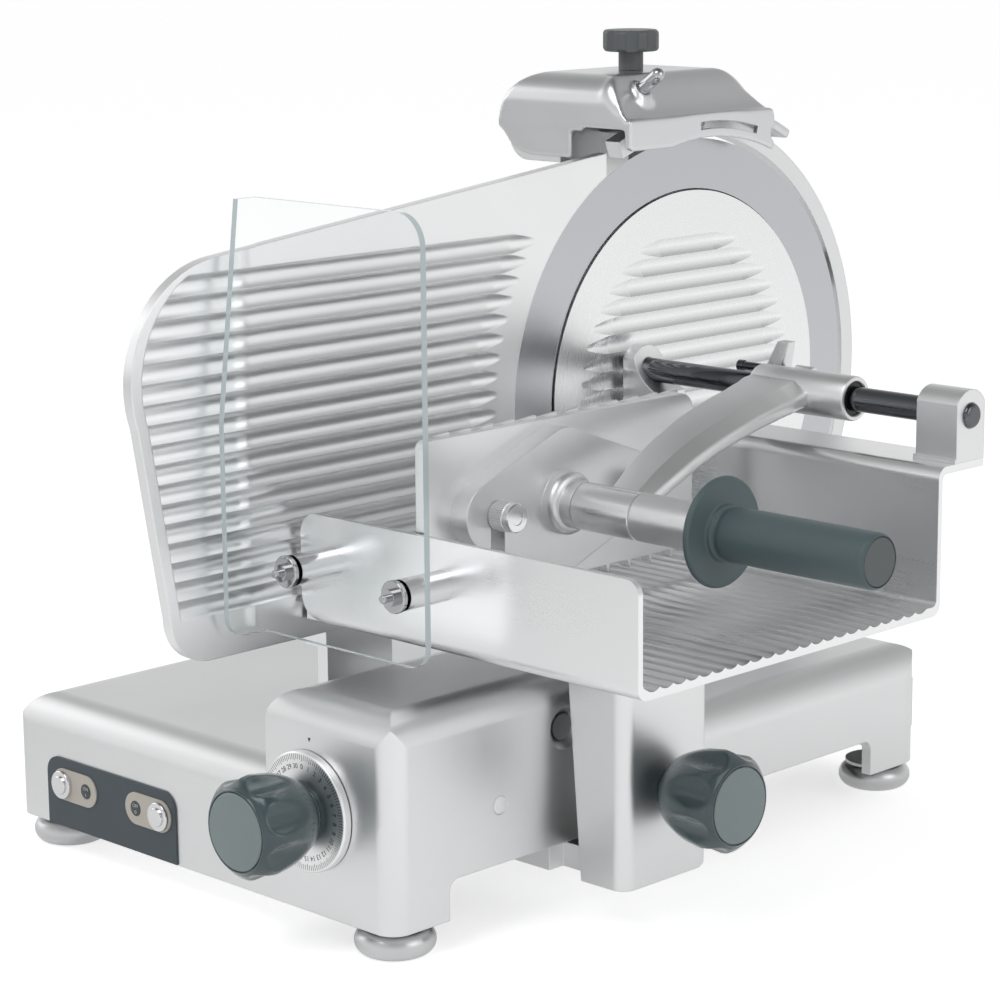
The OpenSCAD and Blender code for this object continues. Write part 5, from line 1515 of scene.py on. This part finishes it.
@dataclass
class Hood:
    """The sharpener's cast hood: its dome falls in a soft curve to a brim over a slotted skirt."""

    node: str = "sharpener_hood"
    body: str = "hood"
    voxel: float = 1.2
    passes: int = 6
    softness: float = 0.5
    slope: tuple[float, float, float] = (-8.0, 7.0, 22.0)
    drops: tuple[float, float] = (7.5, 30.0)
    kept_below: float = 482.0
    fade: float = 10.0
    skirt: tuple[float, float] = (18.2, 21.9)
    skirt_ring: float = 177.0
    skirt_span: tuple[float, float] = (67.5, 103.0)
    skirt_rest: tuple[Point, ...] = (
        (-83.0, 466.5), (-84.0, 484.5), (-50.0, 487.2), (-20.0, 488.8), (5.0, 489.3), (30.0, 488.6),
        (48.0, 486.4), (60.0, 482.5), (65.0, 478.0), (66.5, 472.0), (65.5, 467.5), (69.5, 463.5),
    )
    slot_rings: tuple[float, float] = (183.2, 188.6)
    slot_span: tuple[float, float] = (74.5, 93.5)
    slot_over: float = 1.0
    apron: tuple[float, float] = (-84.9, -81.5)
    apron_outline: tuple[Point, ...] = (
        (-104.5, 481.0), (-104.2, 477.0), (-100.0, 474.5), (-95.0, 468.0), (-89.0, 463.0), (-82.0, 460.2),
        (-72.0, 459.0), (-34.0, 459.0), (-34.0, 484.0), (-100.0, 484.0),
    )
    centre: Point = (0.0, BLADE_HEIGHT)
    steps: int = 32
    post: tuple[float, float, float] = (-32.0, -25.0, 12.5)
    pin: tuple[float, float, float] = (8.0, -56.0, 508.5)
    pin_lean: float = 55.0
    pin_keep: float = 7.5
    crease: float = 50.0

    def arc(self, ring: float, span: Point) -> list[Point]:
        """Points of an arc about the blade's axis.

        Args:
            ring: Its radius.
            span: Its first and last angle in degrees, from +Y up.

        Returns:
            The points as (y, z).
        """
        first, wide = span[0], span[1] - span[0]
        turns = [math.radians(first + wide * i / self.steps) for i in range(self.steps + 1)]
        return [(self.centre[0] + ring * math.cos(a), self.centre[1] + ring * math.sin(a)) for a in turns]

    def slab(self, outline: Sequence[Vector], way: Vector) -> Shape:
        """A flat outline given a thickness.

        Args:
            outline: The points of one side.
            way: From them to the points of the other side.

        Returns:
            Its shape.
        """
        shape = Shape()
        return shape.solid([shape.loop(outline), shape.loop(point + way for point in outline)])

    def additions(self) -> tuple[Shape, Shape]:
        """The skirt that follows the blade on the right, and the apron in front.

        Returns:
            Their shapes.
        """
        left, right = self.skirt
        outline = self.arc(self.skirt_ring, self.skirt_span) + list(self.skirt_rest)
        skirt = self.slab([Vector((left, y, z)) for y, z in outline], Vector((right - left, 0, 0)))
        front, back = self.apron
        corners = [Vector((x, front, z)) for x, z in self.apron_outline]
        apron = self.slab(corners, Vector((0, back - front, 0)))
        return skirt, apron

    def slot(self) -> Shape:
        """What is cut from the skirt.

        Returns:
            Its shape.
        """
        left, right = self.skirt[0] - self.slot_over, self.skirt[1] + self.slot_over
        inner, outer = self.slot_rings
        outline = self.arc(inner, self.slot_span) + self.arc(outer, self.slot_span)[::-1]
        return self.slab([Vector((left, y, z)) for y, z in outline], Vector((right - left, 0, 0)))

    def sink(self, x: float) -> float:
        """How far the solid's straight slopes lie above the soft curve.

        Args:
            x: Where across the hood.

        Returns:
            The distance in millimetres.
        """
        start, knee, end = self.slope
        if x <= start:
            return 0.0
        share = min((x - start) / (end - start), 1.0)
        if x < knee:
            straight = self.drops[0] * (x - start) / (knee - start)
        else:
            straight = self.drops[0] + (self.drops[1] - self.drops[0]) * min((x - knee) / (end - knee), 1.0)
        return self.drops[1] * (1 - math.cos(math.pi * share)) / 2 - straight

    def is_seat(self, place: Vector) -> bool:
        """Whether a point belongs to the bore of the post or of the pin.

        Args:
            place: The point in millimetres.

        Returns:
            True near either axis.
        """
        lean = math.radians(self.pin_lean)
        along = Vector((math.sin(lean), 0.0, math.cos(lean)))
        off = place - Vector(self.pin)
        x, y, reach = self.post
        near_post = math.hypot(place.x - x, place.y - y) < reach
        return near_post or (off - along * off.dot(along)).length < self.pin_keep

    def build(self, shop: Workshop, nodes: dict[str, bpy.types.Object]) -> None:
        """Adds the skirt and the apron to a copy of the solid, softens the whole and cuts the slot.

        Args:
            shop: Where pieces are made.
            nodes: The solids by name.
        """
        thing = linked("hood_shell", nodes[self.node].data.copy())
        shapes = (*self.additions(), self.slot())
        makers = [shop.form(f"hood_maker_{i}", shape) for i, shape in enumerate(shapes)]
        work = bmesh.new()
        work.from_mesh(thing.data)
        for maker in makers[:-1]:
            work.from_mesh(maker.data)
        bmesh.ops.remove_doubles(work, verts=work.verts, dist=WELD)
        work.to_mesh(thing.data)
        work.free()
        even = thing.modifiers.new("even", "REMESH")
        even.mode = "VOXEL"
        even.voxel_size = self.voxel * MM
        mesh = evaluated(thing)
        thing.modifiers.clear()
        work = bmesh.new()
        work.from_mesh(mesh)
        loose = []
        for corner in work.verts:
            place = corner.co / MM - ORIGIN
            if self.is_seat(place):
                continue
            loose.append(corner)
            weight = min(max((place.z - self.kept_below) / self.fade, 0.0), 1.0)
            corner.co.z -= self.sink(place.x) * weight * MM
        for _ in range(self.passes):
            bmesh.ops.smooth_vert(
                work, verts=loose, factor=self.softness, use_axis_x=True, use_axis_y=True, use_axis_z=True
            )
        work.to_mesh(mesh)
        work.free()
        thing.data = mesh
        cut = thing.modifiers.new("slot", "BOOLEAN")
        cut.operation = "DIFFERENCE"
        cut.object = makers[-1]
        cut.solver = "EXACT"
        thing.data = evaluated(thing)
        thing.modifiers.clear()
        thing.data.name = "hood_shell"
        for maker in makers:
            bpy.data.objects.remove(maker)
        thing.data.shade_smooth()
        thing.data.set_sharp_from_angle(angle=math.radians(self.crease))
        shop.settle(thing, Kind.HOOD, self.body, (self.node,))


@dataclass
class GuardSheet:
    """The clear splash guard, with the paler look of its sawn and polished edges."""

    node: str = "blade_guard"
    body: str = "carriage"
    right: float = 154.0
    front: float = -422.0
    flat: float = 0.9999
    leaning: float = 0.05
    facing: float = 0.9

    def is_edge(self, face: bmesh.types.BMFace) -> bool:
        """Whether a face lies on the sheet's rim and not on its two broad sides.

        Args:
            face: A face of the sheet, in the row frame.

        Returns:
            True on the rim.
        """
        middle = face.calc_center_median() / MM - ORIGIN
        turned_up = abs(face.normal.z) > self.leaning
        right_end = face.normal.x > self.facing and middle.x > self.right
        front_end = face.normal.y < -self.facing and middle.y < self.front
        return turned_up or right_end or front_end

    def build(self, shop: Workshop, nodes: dict[str, bpy.types.Object]) -> None:
        """Copies the solid and gives its rim its own finish.

        Args:
            shop: Where pieces are made.
            nodes: The solids by name.
        """
        mesh = nodes[self.node].data.copy()
        mesh.name = "guard_sheet"
        work = bmesh.new()
        work.from_mesh(mesh)
        bmesh.ops.remove_doubles(work, verts=work.verts, dist=WELD)
        work.normal_update()
        thing = linked("guard_sheet", mesh)
        rim = [self.is_edge(face) for face in work.faces]
        work.to_mesh(mesh)
        work.free()
        shop.settle(thing, Kind.CLEAR, self.body, (self.node,))
        mesh.materials.append(shop.finishes.get(Kind.SHEET_EDGE))
        mesh.shade_smooth()
        for face, edge in zip(mesh.polygons, rim):
            face.material_index = int(edge)
            face.use_smooth = not edge and max(abs(a) for a in face.normal) < self.flat


# The solids that are shown as they are

SOLID_FINISHES: dict[Kind, tuple[str, ...]] = {
    Kind.CASTING: (
        "base_casting", "blade_support", "drive_cover", "motor_cover", "guard_ring", "sharpener_base",
        "sharpener_hood", "carriage_foot", "carriage_column", "rod_pillars", "press_arm", "gauge_slide",
        "stone_carrier", "press_bracket",
    ),
    Kind.PLATE: ("gauge_plate", "press_plate", "bottom_plate", "slice_deflector", "dial_disc"),
    Kind.TRAY: ("carriage_tray",),
    Kind.STEEL: (
        "foot_studs", "plate_screws", "side_screws", "gauge_rods", "guide_rods", "blade_bearings",
        "blade_shaft", "blade_screws", "gauge_screws", "guard_pegs", "latch_pin", "plate_knobs",
        "switch_bodies", "on_button", "off_button", "dial_cam", "blade_pulley", "motor_pulley",
    ),
    Kind.CHROME: ("guard_nuts", "sharpener_pin"),
    # The press rod is polished chrome with a painted dark reflection in its base colour.
    Kind.CHROME_PAINTED_DARK_REFLECTION: ("press_rod",),
    Kind.BLADE: ("blade",),
    Kind.COVER: ("blade_cover",),
    Kind.KNOB: ("dial_knob", "lock_knob", "cover_knob"),
    Kind.GRIP: ("press_grip",),
    Kind.GREY: ("sharpener_knob",),
    Kind.PANEL: ("control_panel",),
    Kind.PALE: ("pill_surrounds",),
    # The press bushes take the black finish, which darkens the inside of each end of the sleeve.
    Kind.BLACK: ("cord_gland", "press_bushes"),
    Kind.RUBBER: ("drive_belt",),
    Kind.PAINT: ("motor",),
    Kind.CLEAR: ("blade_guard",),
    Kind.BRONZE: ("dial_bush", "foot_bushes"),
    Kind.FOOT: ("feet",),
    Kind.COARSE: ("grinding_wheel",),
    Kind.FINE: ("honing_wheel",),
}


def dress_solids(nodes: dict[str, bpy.types.Object], finishes: Finishes) -> None:
    """Gives each solid its finish.

    Args:
        nodes: The solids by name.
        finishes: Where the materials come from.
    """
    for kind, names in SOLID_FINISHES.items():
        for name in names:
            mesh = nodes[name].data
            mesh.materials.clear()
            mesh.materials.append(finishes.get(kind))
    LOG.info("%d solids dressed", len(nodes))


# Stage, light and camera


@dataclass(frozen=True)
class Lamp:
    """A soft square lamp aimed at the object."""

    name: str
    place: tuple[float, float, float]
    aim: tuple[float, float, float]
    size: float
    power: float

    def make(self) -> None:
        """Adds the lamp."""
        data = bpy.data.lights.new(self.name, "AREA")
        data.shape = "SQUARE"
        data.size = self.size
        data.energy = self.power
        lamp = linked(self.name, data)
        lamp.location = self.place
        lamp.rotation_euler = (Vector(self.aim) - Vector(self.place)).to_track_quat("-Z", "Y").to_euler()


@dataclass
class Studio:
    """The floor, the world, the lamps and the camera."""

    eye: tuple[float, float, float] = (1398.5, -1597.2, 650.7)
    yaw: float = 44.85
    pitch: float = 11.76
    roll: float = -0.48
    lens: float = 107.72
    sensor: float = 36.0
    floor_size: float = 90.0
    floor_colour: float = 0.80
    floor_glow: float = 0.62
    floor_roughness: float = 0.9
    floor_shine: float = 0.1
    floor_reach: float = 0.8
    floor_mirrored: tuple[float, float] = (0.16, 0.56)
    sky_low: float = 0.60
    sky_high: float = 0.40
    mirror_high: float = 0.22
    mirror_right: float = 0.85
    sky_top: float = 0.9
    mirror_rise: tuple[float, float] = (0.15, 0.95)
    mirror_span: tuple[float, float] = (-0.4, 0.8)
    clip_start: float = 0.05
    lamps: tuple[Lamp, ...] = (
        Lamp("key", (0.2, -1.5, 2.4), (0.0, 0.0, 0.25), 1.4, 18.0),
        Lamp("fill", (2.4, 0.3, 1.4), (0.0, 0.0, 0.25), 1.6, 10.0),
        Lamp("left", (-2.3, -0.8, 1.2), (0.0, 0.0, 0.25), 1.4, 6.0),
    )

    def floor(self) -> None:
        """A plain pale floor that the camera and reflections see as white, with the object's shadow."""
        mesh = bpy.data.meshes.new("floor")
        half = self.floor_size / 2
        corners = [(-half, -half, 0), (half, -half, 0), (half, half, 0), (-half, half, 0)]
        mesh.from_pydata(corners, [], [(0, 1, 2, 3)])
        floor = linked("floor", mesh)
        material = bpy.data.materials.new("floor")
        material.use_nodes = True
        tree = NodeTree(material.node_tree)
        shader = material.node_tree.nodes["Principled BSDF"]
        shader.inputs["Base Color"].default_value = (*(self.floor_colour,) * 3, 1.0)
        shader.inputs["Roughness"].default_value = self.floor_roughness
        shader.inputs["Specular IOR Level"].default_value = self.floor_shine
        shader.inputs["Emission Color"].default_value = (1.0, 1.0, 1.0, 1.0)
        seen, mirrored = self.seen(tree)
        glow = tree.maths("MULTIPLY", seen, self.floor_glow)
        across = tree.add("SeparateXYZ", in_Vector=tree.add("TexCoord").outputs["Object"]).outputs["X"]
        shine = tree.ramp(across, -self.floor_reach, self.floor_reach, *self.floor_mirrored)
        strength = tree.maths("MULTIPLY_ADD", mirrored, shine, glow)
        tree.feed(shader.inputs["Emission Strength"], strength)
        mesh.materials.append(material)

    def seen(self, tree: NodeTree) -> tuple[bpy.types.NodeSocket, bpy.types.NodeSocket]:
        """Which rays see the background: those of the camera and through clear pieces, and those of gloss.

        Args:
            tree: The material's or the world's tree.

        Returns:
            Two values, each 1 for such a ray and 0 for the others.
        """
        rays = tree.add("LightPath").outputs
        through = tree.maths("MAXIMUM", rays["Is Camera Ray"], rays["Is Transmission Ray"])
        hidden = tree.maths("SUBTRACT", 1.0, through)
        return through, tree.maths("MULTIPLY", rays["Is Glossy Ray"], hidden)

    def world(self) -> None:
        """Soft even light, white to the camera; reflections see it darker overhead and to the right."""
        world = bpy.data.worlds.new("studio")
        bpy.context.scene.world = world
        world.use_nodes = True
        tree = NodeTree(world.node_tree)
        sky = world.node_tree.nodes["Background"]
        sky.inputs["Color"].default_value = (1.0, 1.0, 1.0, 1.0)
        way = tree.add("SeparateXYZ", in_Vector=tree.add("TexCoord").outputs["Generated"]).outputs
        lit = tree.ramp(way["Z"], 0.0, self.sky_top, self.sky_low, self.sky_high)
        upward = tree.ramp(way["Z"], *self.mirror_rise, 1.0, self.mirror_high)
        sideways = tree.ramp(way["X"], *self.mirror_span, 1.0, self.mirror_right)
        glossy = tree.maths("MULTIPLY", upward, sideways)
        seen, mirrored = self.seen(tree)
        white = tree.maths("MULTIPLY", seen, tree.maths("SUBTRACT", 1.0, lit))
        shine = tree.maths("MULTIPLY", mirrored, tree.maths("SUBTRACT", glossy, lit))
        tree.feed(sky.inputs["Strength"], tree.maths("ADD", lit, tree.maths("ADD", white, shine)))

    def camera(self) -> None:
        """The photograph's camera."""
        turn, tip, lean = (math.radians(a) for a in (self.yaw, self.pitch, self.roll))
        ahead = Vector((-math.sin(turn) * math.cos(tip), math.cos(turn) * math.cos(tip), -math.sin(tip)))
        right = Vector((math.cos(turn), math.sin(turn), 0.0))
        over = right.cross(ahead)
        side = right * math.cos(lean) + over * math.sin(lean)
        top = over * math.cos(lean) - right * math.sin(lean)
        data = bpy.data.cameras.new("camera")
        data.lens = self.lens
        data.sensor_width = self.sensor
        data.clip_start = self.clip_start
        camera = linked("camera", data)
        axes = Matrix((side, top, -ahead)).transposed().to_4x4()
        camera.matrix_world = Matrix.Translation(spot(*self.eye)) @ axes
        bpy.context.scene.camera = camera

    def build(self) -> None:
        """Everything round the object."""
        bpy.context.scene.view_settings.view_transform = "Standard"
        self.floor()
        self.world()
        for lamp in self.lamps:
            lamp.make()
        self.camera()
        LOG.info("studio built")


def main() -> None:
    """Loads the frame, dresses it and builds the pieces."""
    logging.basicConfig(level=logging.INFO, format="%(message)s")
    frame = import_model()
    nodes = frame["nodes"]
    Studio().build()
    finishes = Finishes()
    dress_solids(nodes, finishes)
    shop = Workshop(finishes)
    LobedKnob(
        "dial_hand_knob", "dial", "dial_knob", Axis.FRONT, place=(63.2, -434.0, 86.5),
        neck_radius=17.0, neck_length=4.0,
    ).build(shop)
    LobedKnob(
        "lock_hand_knob", "lock_knob", "lock_knob", Axis.RIGHT, place=(201.3, -236.0, 86.8),
        neck_radius=11.5, neck_length=8.0,
    ).build(shop)
    Dial().build(shop)
    PressArm().build(shop)
    Latch().build(shop)
    Handle().build(shop)
    Knurled().build(shop)
    SwitchLabels().build(shop)
    Hood().build(shop, nodes)
    GuardSheet().build(shop, nodes)


if __name__ == "__main__":
    main()
